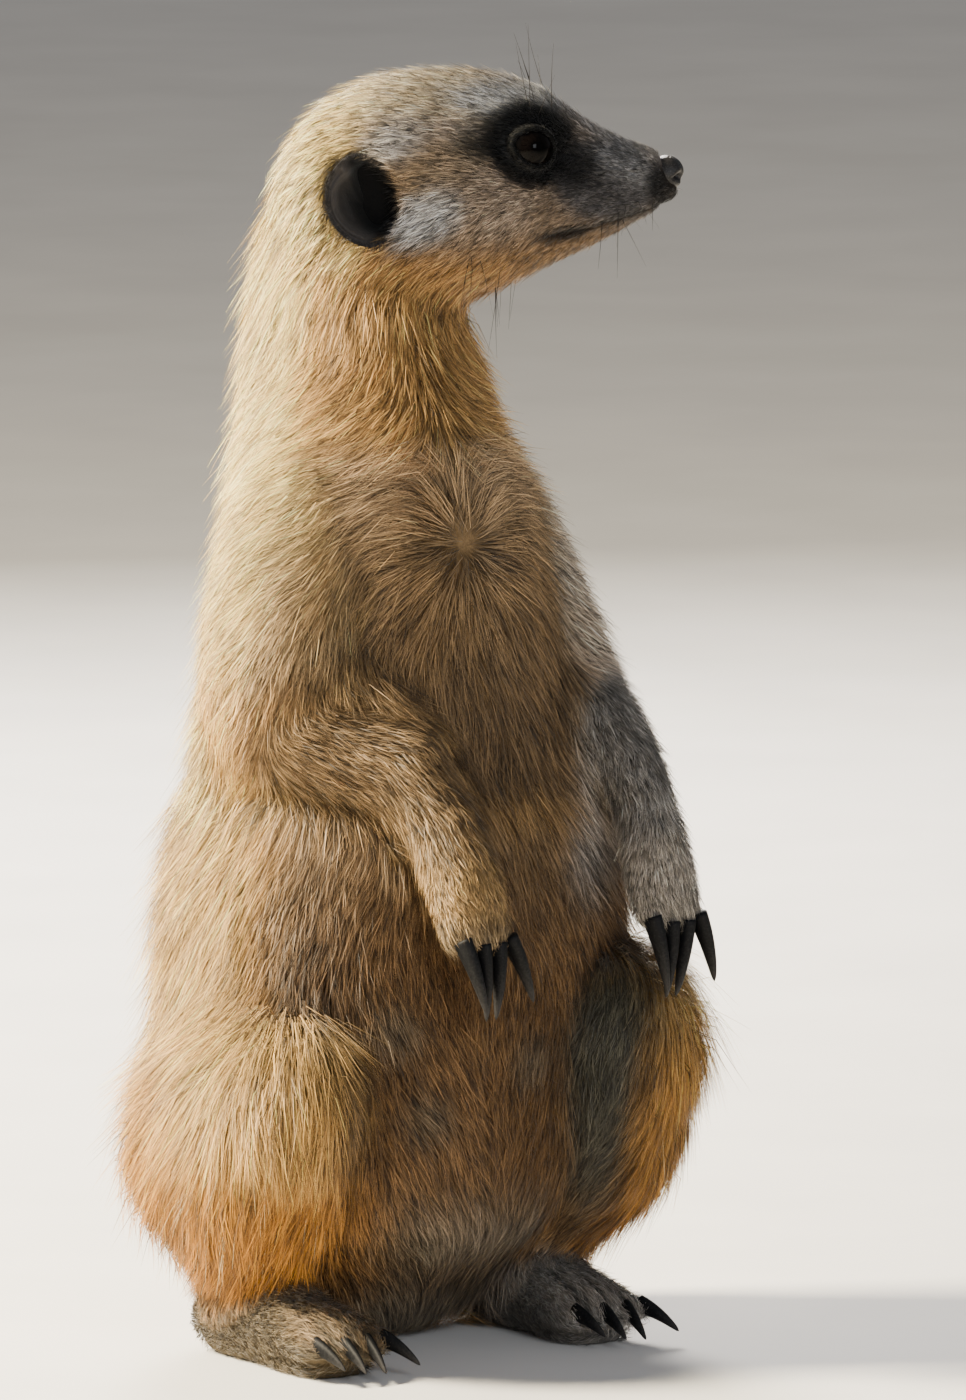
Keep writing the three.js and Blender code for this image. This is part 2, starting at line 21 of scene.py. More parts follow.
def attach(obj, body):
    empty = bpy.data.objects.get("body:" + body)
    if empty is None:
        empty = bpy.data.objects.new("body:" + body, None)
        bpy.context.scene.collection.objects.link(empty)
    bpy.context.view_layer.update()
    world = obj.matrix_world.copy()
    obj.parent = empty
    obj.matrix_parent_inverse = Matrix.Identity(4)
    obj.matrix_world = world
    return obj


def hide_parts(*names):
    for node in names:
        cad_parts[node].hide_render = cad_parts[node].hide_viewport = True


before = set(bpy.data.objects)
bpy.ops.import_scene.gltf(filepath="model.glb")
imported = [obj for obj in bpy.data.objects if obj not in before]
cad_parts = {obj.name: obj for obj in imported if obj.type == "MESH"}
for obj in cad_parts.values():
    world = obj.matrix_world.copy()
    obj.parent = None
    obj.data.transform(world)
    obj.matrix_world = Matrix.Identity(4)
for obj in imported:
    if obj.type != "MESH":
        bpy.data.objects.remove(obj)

LOG = logging.getLogger("meerkat")
MM = 0.001
ROOT_BODY = "root"
SKIN_LIGHT = 0.62

Array = np.ndarray
Place = tuple[float, float, float]
Names = tuple[str, ...]
Piece, Mesh, Material = bpy.types.Object, bpy.types.Mesh, bpy.types.Material
Node, Socket = bpy.types.Node, bpy.types.NodeSocket


class Side(Enum):
    """The animal's own sides, and their signs along X."""

    RIGHT = -1
    LEFT = 1

    @property
    def word(self) -> str:
        """The side's word in the names of pieces."""
        return self.name.lower()


class Shade(Enum):
    """The coat's named colours, as they are in plain light."""

    CREAM = (0.88, 0.765, 0.49)
    STRAW = (0.79, 0.635, 0.38)
    GOLD = (0.74, 0.53, 0.245)
    RUFOUS = (0.64, 0.425, 0.13)
    FAWN = (0.56, 0.45, 0.315)
    RUSSET = (0.43, 0.315, 0.19)
    UMBER = (0.32, 0.25, 0.175)
    ROSE_GREY = (0.65, 0.575, 0.50)
    ASH = (0.74, 0.735, 0.73)
    STONE = (0.40, 0.385, 0.335)
    SLATE = (0.24, 0.24, 0.205)
    GRAPHITE = (0.29, 0.295, 0.31)
    SOOT = (0.06, 0.057, 0.057)

    @property
    def linear(self) -> Array:
        """The colour in linear light."""
        return to_linear(np.array(self.value))


def to_linear(colour: Array) -> Array:
    """Turns screen colours into linear light."""
    return np.where(colour <= 0.04045, colour / 12.92, ((colour + 0.055) / 1.055) ** 2.4)


# ---- Numbers over points ----


def unit(vectors: Array) -> Array:
    """The vectors at length one."""
    return vectors / np.maximum(np.linalg.norm(vectors, axis=-1, keepdims=True), 1e-9)


def dot(a: Array, b: Array) -> Array:
    """Row by row dot products, kept as a column."""
    return np.sum(a * b, axis=-1, keepdims=True)


def soft(values: Array, low: float, high: float) -> Array:
    """A smooth step from 0 at low to 1 at high; low may be the larger."""
    t = np.clip((values - low) / (high - low), 0, 1)
    return t * t * (3 - 2 * t)


def hump(values: Array) -> Array:
    """A smooth rise to 1 where the values pass 0."""
    return np.exp(-(values**2))


def lengths(vectors: Array) -> Array:
    """The length of each vector."""
    return np.linalg.norm(vectors, axis=-1)


def steady_random(cells: Array, seed: int) -> Array:
    """A number from 0 to 1 for each row of whole numbers, always the same for the same seed.

    Args:
        cells: three whole numbers to a row.
        seed: which set of numbers.

    Returns:
        The numbers.
    """
    c = cells.astype(np.int64)
    mixed = (c[..., 0] * 73856093) ^ (c[..., 1] * 19349663) ^ (c[..., 2] * 83492791) ^ (seed * 7919)
    mixed = (mixed ^ (mixed >> 13)) * 1274126177
    return ((mixed ^ (mixed >> 16)) & 0xFFFFFF) / float(0x1000000)


def noise(points: Array, size: float, seed: int) -> Array:
    """Smooth noise from -1 to 1 with blotches about `size` across.

    Args:
        points: one point to a row.
        size: the blotches, across.
        seed: which noise.

    Returns:
        One number to a point.
    """
    scaled = points / size
    base = np.floor(scaled).astype(np.int64)
    t = scaled - base
    t = t * t * (3 - 2 * t)
    total = np.zeros(len(points))
    for corner in itertools.product((0, 1), repeat=3):
        share = np.prod(np.where(np.array(corner) == 1, t, 1 - t), axis=1)
        total += share * steady_random(base + np.array(corner), seed)
    return 2 * total - 1


@dataclass(frozen=True)
class Line:
    """A bent line through stations, which a limb or the trunk follows."""

    stations: tuple[Place, ...]

    def follow(self, points: Array) -> tuple[Array, Array, Array]:
        """Finds where points lie along the line.

        Args:
            points: one point to a row.

        Returns:
            The share of the line's length, the line's direction there, and the way out from it.
        """
        stops = np.array(self.stations, float)
        pieces = lengths(np.diff(stops, axis=0))
        before = np.concatenate(([0.0], np.cumsum(pieces)[:-1]))
        nearest = np.full(len(points), np.inf)
        share = np.zeros(len(points))
        ahead = np.zeros((len(points), 3))
        out = np.zeros((len(points), 3))
        for start, end, length, run in zip(stops[:-1], stops[1:], pieces, before):
            way = (end - start) / length
            t = np.clip((points - start) @ way, 0, length)
            away = points - start - t[:, None] * way
            distance = lengths(away)
            closer = distance < nearest
            nearest[closer] = distance[closer]
            share[closer] = (run + t[closer]) / pieces.sum()
            ahead[closer] = way
            out[closer] = away[closer]
        return share, ahead, out

    def unwrap(self, points: Array) -> Array:
        """Lays the surface round the line flat.

        Args:
            points: one point to a row.

        Returns:
            Two columns from 0 to 1: the turn round the line, and the share of its length.
        """
        share, _, out = self.follow(points)
        whole = unit(np.array(self.stations[-1], float) - np.array(self.stations[0], float))
        first = unit(np.cross(whole, (0.31, 0.9, 0.3)))
        second = np.cross(whole, first)
        turn = np.arctan2(out @ second, out @ first) / (2 * math.pi) + 0.5
        return np.stack((turn, share), axis=1)


@dataclass(frozen=True)
class HeadFrame:
    """The head's own axes: ahead to the nose, aside to the animal's left, and up."""

    base: Place = (0.0, 2.5, 234.3)
    yaw: float = 55.0

    @property
    def axes(self) -> Array:
        """The three axes, one to a row."""
        turn = math.radians(self.yaw - 90)
        return np.array(
            [[math.cos(turn), math.sin(turn), 0], [-math.sin(turn), math.cos(turn), 0], [0, 0, 1]]
        )

    def place(self, spots: Array) -> Array:
        """Head places as points of the model."""
        return np.asarray(spots, float) @ self.axes + np.array(self.base)

    def turned(self, vectors: Array) -> Array:
        """Head directions as directions of the model."""
        return np.asarray(vectors, float) @ self.axes

    def read(self, points: Array) -> Array:
        """Points of the model as head places."""
        return (points - np.array(self.base)) @ self.axes.T


HEAD = HeadFrame()


# ---- Meshes ----


@dataclass
class Surface:
    """A mesh of triangles."""

    points: Array
    faces: Array

    def normals(self) -> Array:
        """The normal at each point.

        Returns:
            One direction to a point.
        """
        across, summed = self._across(), np.zeros_like(self.points)
        for corner, axis in itertools.product(range(3), range(3)):
            ends = self.faces[:, corner]
            summed[:, axis] += np.bincount(ends, across[:, axis], minlength=len(self.points))
        return unit(summed)

    def edges(self) -> Array:
        """Every edge once."""
        pairs = np.concatenate([self.faces[:, [0, 1]], self.faces[:, [1, 2]], self.faces[:, [2, 0]]])
        return np.unique(np.sort(pairs, axis=1), axis=0)

    def areas(self) -> Array:
        """The area of each face."""
        return lengths(self._across()) / 2

    def tree(self) -> BVHTree:
        """A tree of the faces, to find the nearest place on them."""
        return BVHTree.FromPolygons(self.points.tolist(), self.faces.tolist())

    def _across(self) -> Array:
        """The normal of each face, as long as twice its area."""
        corners = self.points[self.faces]
        return np.cross(corners[:, 1] - corners[:, 0], corners[:, 2] - corners[:, 0])

    def evened(self, values: Array, steps: int, share: Array | float = 0.5) -> Array:
        """Values at the points, drawn towards those of their neighbours.

        Args:
            values: one row to a point.
            steps: how many times.
            share: how far each time, alike for all points or one row to a point.

        Returns:
            The evened values.
        """
        edges = self.edges()
        from_ends = np.concatenate([edges[:, 0], edges[:, 1]])
        to_ends = np.concatenate([edges[:, 1], edges[:, 0]])
        count = np.maximum(np.bincount(from_ends, minlength=len(self.points)), 1)[:, None]
        held = values.reshape(len(self.points), -1).astype(float)
        for _ in range(steps):
            total = [np.bincount(from_ends, column[to_ends], minlength=len(self.points)) for column in held.T]
            held = held + share * (np.stack(total, axis=1) / count - held)
        return held.reshape(values.shape)

    def mesh(self, name: str) -> Mesh:
        """The triangles as a smooth-shaded Blender mesh, in metres.

        Args:
            name: the mesh's name.

        Returns:
            The mesh.
        """
        made = bpy.data.meshes.new(name)
        made.vertices.add(len(self.points))
        made.vertices.foreach_set("co", (self.points * MM).astype(np.float32).ravel())
        if len(self.faces):
            made.loops.add(self.faces.size)
            made.loops.foreach_set("vertex_index", self.faces.astype(np.int32).ravel())
            made.polygons.add(len(self.faces))
            made.polygons.foreach_set("loop_start", np.arange(0, self.faces.size, 3, dtype=np.int32))
            made.polygons.foreach_set("use_smooth", np.ones(len(self.faces), bool))
        made.update(calc_edges=True)
        return made


def surface_of(mesh: Mesh) -> Surface:
    """Reads a mesh, with doubled points merged.

    Args:
        mesh: a mesh in metres.

    Returns:
        Its triangles, in millimetres.
    """
    mesh.calc_loop_triangles()
    points = np.zeros(len(mesh.vertices) * 3, np.float32)
    mesh.vertices.foreach_get("co", points)
    faces = np.zeros(len(mesh.loop_triangles) * 3, np.int32)
    mesh.loop_triangles.foreach_get("vertices", faces)
    points = points.reshape(-1, 3).astype(float) / MM
    keys = np.round(points * 1e3).astype(np.int64)
    _, first, back = np.unique(keys, axis=0, return_index=True, return_inverse=True)
    faces = back.reshape(-1)[faces.reshape(-1, 3)]
    whole = (faces[:, 0] != faces[:, 1]) & (faces[:, 1] != faces[:, 2]) & (faces[:, 2] != faces[:, 0])
    return Surface(points[first], faces[whole])


def solid(node: str) -> Surface:
    """The surface of one of the model's solids."""
    return surface_of(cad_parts[node].data)


def joined(surfaces: list[Surface]) -> Surface:
    """Several surfaces as one."""
    starts = np.cumsum([0] + [len(s.points) for s in surfaces[:-1]])
    return Surface(
        np.concatenate([s.points for s in surfaces]),
        np.concatenate([s.faces + start for s, start in zip(surfaces, starts)]),
    )


def grid_surface(grid: Array, round_trip: bool = True) -> Surface:
    """Triangles over a grid of points.

    Args:
        grid: rows of points.
        round_trip: whether each row closes on itself.

    Returns:
        The surface, with the first and last rows left open.
    """
    rows, columns = grid.shape[:2]
    index = np.arange(rows * columns).reshape(rows, columns)
    right = np.roll(index, -1, axis=1)
    here, there = (index, right) if round_trip else (index[:, :-1], index[:, 1:])
    a, b, c, d = here[:-1], there[:-1], there[1:], here[1:]
    faces = np.concatenate([np.stack((a, b, c), -1).reshape(-1, 3), np.stack((a, c, d), -1).reshape(-1, 3)])
    return Surface(grid.reshape(-1, 3), faces)


def ball(levels: int) -> Surface:
    """A unit ball of even triangles.

    Args:
        levels: how often the faces are cut in four.

    Returns:
        The ball.
    """
    shape = bmesh.new()
    bmesh.ops.create_icosphere(shape, subdivisions=levels, radius=MM)
    mesh = bpy.data.meshes.new("ball")
    shape.to_mesh(mesh)
    shape.free()
    made = surface_of(mesh)
    bpy.data.meshes.remove(mesh)
    return Surface(unit(made.points), made.faces)


def set_attribute(mesh: Mesh, name: str, kind: str, values: Array) -> None:
    """Stores one value to a point on the mesh.

    Args:
        mesh: the mesh.
        name: the attribute's name.
        kind: its data type.
        values: a row to a point.
    """
    fields = {"FLOAT": "value", "FLOAT_VECTOR": "vector", "FLOAT2": "vector", "FLOAT_COLOR": "color"}
    layer = mesh.attributes.new(name, kind, "POINT")
    layer.data.foreach_set(fields[kind], np.ascontiguousarray(values, np.float32).ravel())


def with_alpha(colours: Array) -> Array:
    """Colours with a solid alpha."""
    return np.concatenate([colours, np.ones((len(colours), 1))], axis=1)


def set_tint(mesh: Mesh, colours: Array) -> None:
    """Stores the colour of each point."""
    set_attribute(mesh, "Tint", "FLOAT_COLOR", with_alpha(colours))


def add_object(name: str, data: bpy.types.ID, material: Material | None = None) -> Piece:
    """Links a mesh, a lamp or a camera into the scene under its name.

    Args:
        name: the object's name.
        data: its mesh, lamp or camera.
        material: its finish, if it has one yet.

    Returns:
        The object.
    """
    made = bpy.data.objects.new(name, data)
    bpy.context.scene.collection.objects.link(made)
    if material:
        data.materials.append(material)
    return made


def discard(piece: Piece) -> None:
    """Removes an object and its mesh.

    Args:
        piece: the object.
    """
    mesh = piece.data
    bpy.data.objects.remove(piece)
    bpy.data.meshes.remove(mesh)


def drop_attributes(piece: Piece, *names: str) -> None:
    """Removes attributes that only the node tree needed.

    Args:
        piece: the piece.
        names: the attributes.
    """
    for name in names:
        if name in piece.data.attributes:
            piece.data.attributes.remove(piece.data.attributes[name])


def plain_mesh(source: Piece, name: str) -> Piece:
    """Turns the modifiers' result into a plain mesh object, and drops the source.

    Args:
        source: an object with modifiers.
        name: the new object's name.

    Returns:
        The new object.
    """
    graph = bpy.context.evaluated_depsgraph_get()
    shown = source.evaluated_get(graph)
    made = bpy.data.meshes.new_from_object(shown, preserve_all_data_layers=True, depsgraph=graph)
    made.name = name
    discard(source)
    return add_object(name, made)


def hand_in(piece: Piece, nodes: Names = ()) -> None:
    """Puts a finished piece on the body and hides the solids it stands for.

    Args:
        piece: the piece.
        nodes: the solids it stands for.
    """
    piece.name = piece.data.name
    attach(piece, ROOT_BODY)
    if nodes:
        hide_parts(*nodes)
    LOG.info("%s: %d faces", piece.name, len(piece.data.polygons))


# ---- Node trees ----


class Tree:
    """A node tree being built, for geometry or for a material."""

    def __init__(self, tree: bpy.types.NodeTree) -> None:
        """Takes the empty tree."""
        self.tree = tree

    def add(self, kind: str, **settings: object) -> Node:
        """Adds a node with its settings, those named `in_...` being values or links of its inputs.

        Args:
            kind: the node's type.
            settings: its settings.

        Returns:
            The node.
        """
        node = self.tree.nodes.new(kind)
        for name, value in settings.items():
            if not name.startswith("in_"):
                setattr(node, name, value)
                continue
            key = name[3:]
            socket = node.inputs[int(key) if key.isdigit() else key.replace("_", " ")]
            if isinstance(value, Socket):
                self.join(value, socket)
            else:
                socket.default_value = value
        return node

    def join(self, start: Socket, end: Socket) -> None:
        """Links two sockets."""
        self.tree.links.new(start, end)

    def math(self, operation: str, first: object, second: object = None, third: object = None) -> Socket:
        """Adds a sum over sockets or numbers, and gives its result."""
        return self._sum("ShaderNodeMath", operation, (first, second, third))

    def vector(self, operation: str, first: object, second: object = None) -> Socket:
        """Adds a vector sum over sockets or values, and gives its result."""
        return self._sum("ShaderNodeVectorMath", operation, (first, second))

    def scaled(self, vector: Socket, factor: Socket) -> Socket:
        """A vector times a number."""
        return self.add("ShaderNodeVectorMath", operation="SCALE", in_0=vector, in_Scale=factor).outputs[0]

    def _sum(self, kind: str, operation: str, values: tuple[object, ...]) -> Socket:
        """Adds a sum's node over its inputs, in order."""
        inputs = {f"in_{i}": value for i, value in enumerate(values) if value is not None}
        return self.add(kind, operation=operation, **inputs).outputs[0]


class GeometryTree(Tree):
    """A geometry node group with named inputs."""

    def __init__(self, name: str, inputs: dict[str, str]) -> None:
        """Makes the group.

        Args:
            name: the group's name.
            inputs: what kind of socket each named input is.
        """
        super().__init__(bpy.data.node_groups.new(name, "GeometryNodeTree"))
        face = self.tree.interface
        face.new_socket(name="Geometry", in_out="INPUT", socket_type="NodeSocketGeometry")
        face.new_socket(name="Geometry", in_out="OUTPUT", socket_type="NodeSocketGeometry")
        self.sockets = {
            key: face.new_socket(name=key, in_out="INPUT", socket_type="NodeSocket" + kind).identifier
            for key, kind in inputs.items()
        }
        self.source = self.add("NodeGroupInput").outputs
        self.result = self.add("NodeGroupOutput").inputs[0]

    def named(self, name: str, kind: str) -> Socket:
        """An attribute of the geometry, read by its name."""
        return self.add("GeometryNodeInputNamedAttribute", data_type=kind, in_Name=name).outputs[0]

    def instanced(self, model: str) -> tuple[Node, Socket]:
        """Sets the object of a named input on each point.

        Args:
            model: the input's name.

        Returns:
            The node that sets them, and the result as real meshes.
        """
        info = self.add("GeometryNodeObjectInfo", transform_space="ORIGINAL", in_Object=self.source[model])
        copied, roots = info.outputs["Geometry"], self.source["Geometry"]
        sown = self.add("GeometryNodeInstanceOnPoints", in_Points=roots, in_Instance=copied)
        return sown, self.realized(sown.outputs[0])

    def realized(self, geometry: Socket) -> Socket:
        """Turns instances into real meshes."""
        return self.add("GeometryNodeRealizeInstances", in_0=geometry).outputs[0]

    def stored(self, geometry: Socket, name: str, kind: str, domain: str, value: Socket) -> Socket:
        """Stores a value on the geometry under a name."""
        settings = {"data_type": kind, "domain": domain, "in_Name": name, "in_Geometry": geometry}
        return self.add("GeometryNodeStoreNamedAttribute", **settings, in_Value=value).outputs[0]

    def finish(self, geometry: Socket) -> None:
        """Ends the tree with the material."""
        dressed = self.add("GeometryNodeSetMaterial", in_Geometry=geometry, in_Material=self.source["Finish"])
        self.join(dressed.outputs[0], self.result)

    def run(self, mesh: Mesh, name: str, values: dict[str, object]) -> Piece:
        """Runs the tree on a mesh and gives a plain mesh.

        Args:
            mesh: what the tree starts from; it is used up.
            name: the piece's name.
            values: a value for each named input.

        Returns:
            The piece.
        """
        source = add_object(name + "_roots", mesh)
        modifier = source.modifiers.new(self.tree.name, "NODES")
        modifier.node_group = self.tree
        for key, value in values.items():
            modifier[self.sockets[key]] = value
        return plain_mesh(source, name)


# ---- Finishes ----


@dataclass(frozen=True)
class Finish:
    """A procedural finish: a colour with its grain, its gloss and its relief."""

    name: str
    roughness: float
    specular: float = 0.4

    def material(self) -> Material:
        """Builds the finish as a material.

        Returns:
            The material.
        """
        made = bpy.data.materials.new(self.name)
        made.use_nodes = True
        shader = made.node_tree.nodes["Principled BSDF"]
        shader.inputs["Roughness"].default_value = self.roughness
        shader.inputs["Specular IOR Level"].default_value = self.specular
        self.dress(Tree(made.node_tree), shader)
        return made

    def dress(self, tree: Tree, shader: Node) -> None:
        """Adds the finish's own nodes to the material's tree, ahead of its shader."""

    def grain(self, tree: Tree, size: float, detail: float = 3.0) -> Socket:
        """Noise over the piece, with grains about `size` millimetres across."""
        at, scale = tree.add("ShaderNodeTexCoord").outputs["Object"], 1 / (size * MM)
        return tree.add("ShaderNodeTexNoise", in_Vector=at, in_Scale=scale, in_Detail=detail).outputs["Fac"]

    def relief(self, tree: Tree, shader: Node, height: Socket, depth: float) -> None:
        """Raises the surface by the height, up to `depth` millimetres."""
        bump = tree.add("ShaderNodeBump", in_Distance=depth * MM, in_Strength=1.0, in_Height=height)
        tree.join(bump.outputs[0], shader.inputs["Normal"])

    def shaded(self, tree: Tree, amount: Socket, low: Place, high: Place) -> Socket:
        """A colour from low to high by the amount.

        Args:
            tree: the material's nodes.
            amount: a number over the surface.
            low: the screen colour where it is low.
            high: the screen colour where it is high.

        Returns:
            The colour.
        """
        ramp = tree.add("ShaderNodeValToRGB", in_0=amount)
        for stop, position, colour in zip(ramp.color_ramp.elements, (0.3, 0.7), (low, high)):
            stop.position = position
            stop.color = (*to_linear(np.array(colour)), 1)
        return ramp.outputs[0]


@dataclass(frozen=True)
class PaintedFinish(Finish):
    """A finish whose colour is the piece's own Tint, broken up by grain."""

    grain_size: float = 0.6
    contrast: float = 0.25
    bump: float = 0.0
    sheen: float = 0.0
    wetness: float = 0.0

    def dress(self, tree: Tree, shader: Node) -> None:
        """Adds the tint, the grain and the relief.

        Args:
            tree: the material's nodes.
            shader: its shader.
        """
        tint = tree.add("ShaderNodeAttribute", attribute_name="Tint").outputs["Color"]
        grain = self.grain(tree, self.grain_size)
        strength = tree.math("MULTIPLY_ADD", grain, 2 * self.contrast, 1 - self.contrast)
        tree.join(tree.scaled(tint, strength), shader.inputs["Base Color"])
        if self.sheen:
            shader.inputs["Sheen Weight"].default_value = self.sheen
            shader.inputs["Sheen Roughness"].default_value = 0.4
        if self.wetness:
            shader.inputs["Coat Weight"].default_value = self.wetness
            shader.inputs["Coat Roughness"].default_value = 0.02
        if self.bump:
            self.relief(tree, shader, grain, self.bump)


@dataclass(frozen=True)
class HornFinish(Finish):
    """Dark horn with fine streaks along it, paler where it is worn."""

    def dress(self, tree: Tree, shader: Node) -> None:
        """Adds the streaks.

        Args:
            tree: the material's nodes.
            shader: its shader.
        """
        wear = tree.add("ShaderNodeAttribute", attribute_name="Wear").outputs["Fac"]
        streaks = self.grain(tree, 0.5, 4.0)
        amount = tree.math("MULTIPLY_ADD", wear, 0.5, tree.math("MULTIPLY", streaks, 0.6))
        colour = self.shaded(tree, amount, (0.045, 0.05, 0.06), (0.17, 0.165, 0.165))
        tree.join(colour, shader.inputs["Base Color"])
        self.relief(tree, shader, streaks, 0.05)


@dataclass(frozen=True)
class LeatherFinish(Finish):
    """Moist pebbled skin of the nose."""

    def dress(self, tree: Tree, shader: Node) -> None:
        """Adds the pebbles and the darker cracks between them.

        Args:
            tree: the material's nodes.
            shader: its shader.
        """
        at, scale = tree.add("ShaderNodeTexCoord").outputs["Object"], 1 / (0.42 * MM)
        pebbles = tree.add("ShaderNodeTexVoronoi", feature="DISTANCE_TO_EDGE", in_Vector=at, in_Scale=scale)
        distance = tree.math("MINIMUM", pebbles.outputs["Distance"], 0.25)
        amount = tree.math("MULTIPLY_ADD", distance, 1.6, tree.math("MULTIPLY", self.grain(tree, 1.5), 0.4))
        colour = self.shaded(tree, amount, (0.06, 0.055, 0.055), (0.19, 0.18, 0.18))
        tree.join(colour, shader.inputs["Base Color"])
        self.relief(tree, shader, distance, 0.12)


@dataclass(frozen=True)
class FloorFinish(Finish):
    """A plain matt floor."""

    def dress(self, tree: Tree, shader: Node) -> None:
        """Adds a faint mottle."""
        colour = self.shaded(tree, self.grain(tree, 60.0), (0.79, 0.78, 0.77), (0.82, 0.81, 0.80))
        tree.join(colour, shader.inputs["Base Color"])


# ---- Studio ----


@dataclass
class Lamp:
    """A soft rectangular lamp that points at the animal."""

    name: str
    place: Place
    size: float
    power: float
    colour: Place


@dataclass
class Studio:
    """The camera, the lamps, the world and the floor."""

    turn: float = -35.0
    rise: float = 8.0
    target: Place = (30.0, 1.0, 128.5)
    distance: float = 5000.0
    view_height: float = 287.0
    sensor: float = 36.0
    floor_reach: float = 6000.0
    world_light: float = 0.30
    lamps: tuple[Lamp, ...] = (
        Lamp("key", (-654.0, 419.0, 728.0), 220.0, 82.0, (1.0, 0.875, 0.635)),
        Lamp("rim", (420.0, 820.0, 560.0), 300.0, 24.0, (1.0, 0.94, 0.86)),
        Lamp("fill", (-280.0, -1120.0, 560.0), 420.0, 7.0, (0.90, 0.95, 1.0)),
    )

    def build(self) -> None:
        """Makes everything that isn't the animal."""
        self._camera()
        self._lamps()
        self._world()
        self._floor()

    def _camera(self) -> None:
        """Sets the camera ahead of the animal's right side, a little above it."""
        turn, rise = math.radians(self.turn), math.radians(self.rise)
        back = Vector((math.sin(turn) * math.cos(rise), -math.cos(turn) * math.cos(rise), math.sin(rise)))
        camera = add_object("camera", bpy.data.cameras.new("camera"))
        camera.data.sensor_width = self.sensor
        camera.data.lens = self.sensor * self.distance / self.view_height
        camera.data.clip_start = 0.1
        camera.data.clip_end = 60
        camera.location = (Vector(self.target) + back * self.distance) * MM
        camera.rotation_euler = back.to_track_quat("Z", "Y").to_euler()
        bpy.context.scene.camera = camera

    def _lamps(self) -> None:
        """Hangs the lamps and points them at the animal."""
        for lamp in self.lamps:
            data = bpy.data.lights.new(lamp.name, "AREA")
            data.energy = lamp.power
            data.size = lamp.size * MM
            data.color = lamp.colour
            made = add_object(lamp.name, data)
            made.location = Vector(lamp.place) * MM
            away = Vector(lamp.place) - Vector(self.target)
            made.rotation_euler = away.to_track_quat("Z", "Y").to_euler()

    def _world(self) -> None:
        """Fills the scene with faint even light."""
        world = bpy.data.worlds.new("studio")
        world.use_nodes = True
        sky = world.node_tree.nodes["Background"]
        sky.inputs["Color"].default_value = (0.93, 0.95, 1.0, 1)
        sky.inputs["Strength"].default_value = self.world_light
        bpy.context.scene.world = world

    def _floor(self) -> None:
        """Lays the floor, which isn't part of the animal."""
        reach = self.floor_reach
        corners = np.array([(-reach, -reach, 0), (reach, -reach, 0), (reach, reach, 0), (-reach, reach, 0)])
        mesh = Surface(corners, np.array([(0, 1, 2), (0, 2, 3)])).mesh("floor")
        add_object("floor", mesh, FloorFinish("floor", 0.75).material())


# ---- The skin's regions ----


@dataclass(frozen=True)
class Coat:
    """How the hair grows on a region, in millimetres, degrees and hairs to a square millimetre."""

    length: float
    width: float
    density: float
    lift: float
    clump: float
    depth: float


class Pelt(Enum):
    """The kinds of coat."""

    FACE = Coat(2.7, 0.12, 15.5, 19, 0.8, 0.85)
    NECK = Coat(9.5, 0.15, 7.8, 20, 1.2, 3.0)
    CHEST = Coat(10.0, 0.15, 7.2, 19, 1.3, 3.4)
    FLANK = Coat(13.5, 0.165, 6.0, 22, 1.8, 3.9)
    HAUNCH = Coat(16.0, 0.17, 5.8, 23, 2.2, 4.6)
    SHANK = Coat(11.0, 0.16, 6.8, 18, 1.9, 3.4)
    UPPER_ARM = Coat(8.5, 0.145, 8.0, 20, 1.2, 2.6)
    FOREARM = Coat(4.6, 0.135, 10.5, 18, 1.0, 2.3)
    PAW = Coat(3.0, 0.125, 12.5, 19, 0.8, 1.1)
    TAIL = Coat(5.5, 0.15, 8.0, 17, 1.2, 1.4)


@dataclass(frozen=True)
class Region:
    """A solid of flesh: the line it follows, the coat it wears and how far its facets are evened."""

    node: str
    line: Line
    pelt: Pelt
    evening: float


LIMB_LINES: dict[Side, dict[str, tuple[tuple[Place, ...], Pelt, float]]] = {
    Side.RIGHT: {
        "upper_arm": (((-22, -10, 171), (-29, -12.5, 154), (-35.5, -16, 132)), Pelt.UPPER_ARM, 0.7),
        "forearm": (
            ((-35, -17, 131), (-28.5, -26, 128.5), (-19, -36, 123), (-13.5, -45.5, 114), (-12.3, -51, 104)),
            Pelt.FOREARM, 0.5,
        ),
        "hand": (((-12.3, -51, 104), (-12.2, -53.5, 98), (-10.6, -60, 83)), Pelt.PAW, 0.2),
        "thigh": (((-39.5, -30, 57), (-30, -7, 46), (-27, 10, 36)), Pelt.HAUNCH, 1.0),
        "shank": (((-38.5, -29, 50), (-39, -20, 36), (-36, -7, 14)), Pelt.SHANK, 0.9),
        "foot": (((-36, -1, 7.4), (-36, -16, 9.2), (-35, -46, 5)), Pelt.PAW, 0.2),
    },
    Side.LEFT: {
        "upper_arm": (((21, -9.5, 170), (28.5, -12.5, 152), (36.5, -19, 134)), Pelt.UPPER_ARM, 0.7),
        "forearm": (
            ((37, -20, 133), (37.3, -30, 128), (36.5, -41, 121), (35.3, -48.5, 113.5), (35, -52.5, 106)),
            Pelt.FOREARM, 0.5,
        ),
        "hand": (((35, -52.5, 106), (35, -54.5, 99), (35.8, -60, 84)), Pelt.PAW, 0.2),
        "thigh": (((38.5, -35.5, 65.5), (30.5, -9, 50), (27, 10, 38)), Pelt.HAUNCH, 1.0),
        "shank": (((38.8, -34, 56), (39.5, -25, 39), (33.5, -5, 14)), Pelt.SHANK, 0.9),
        "foot": (((30.5, 2, 7.4), (31, -12, 9.2), (32, -42, 5)), Pelt.PAW, 0.2),
    },
}
KNEES: dict[Side, Place] = {Side.RIGHT: (-37.5, -26.0, 55.0), Side.LEFT: (37.0, -31.0, 62.0)}


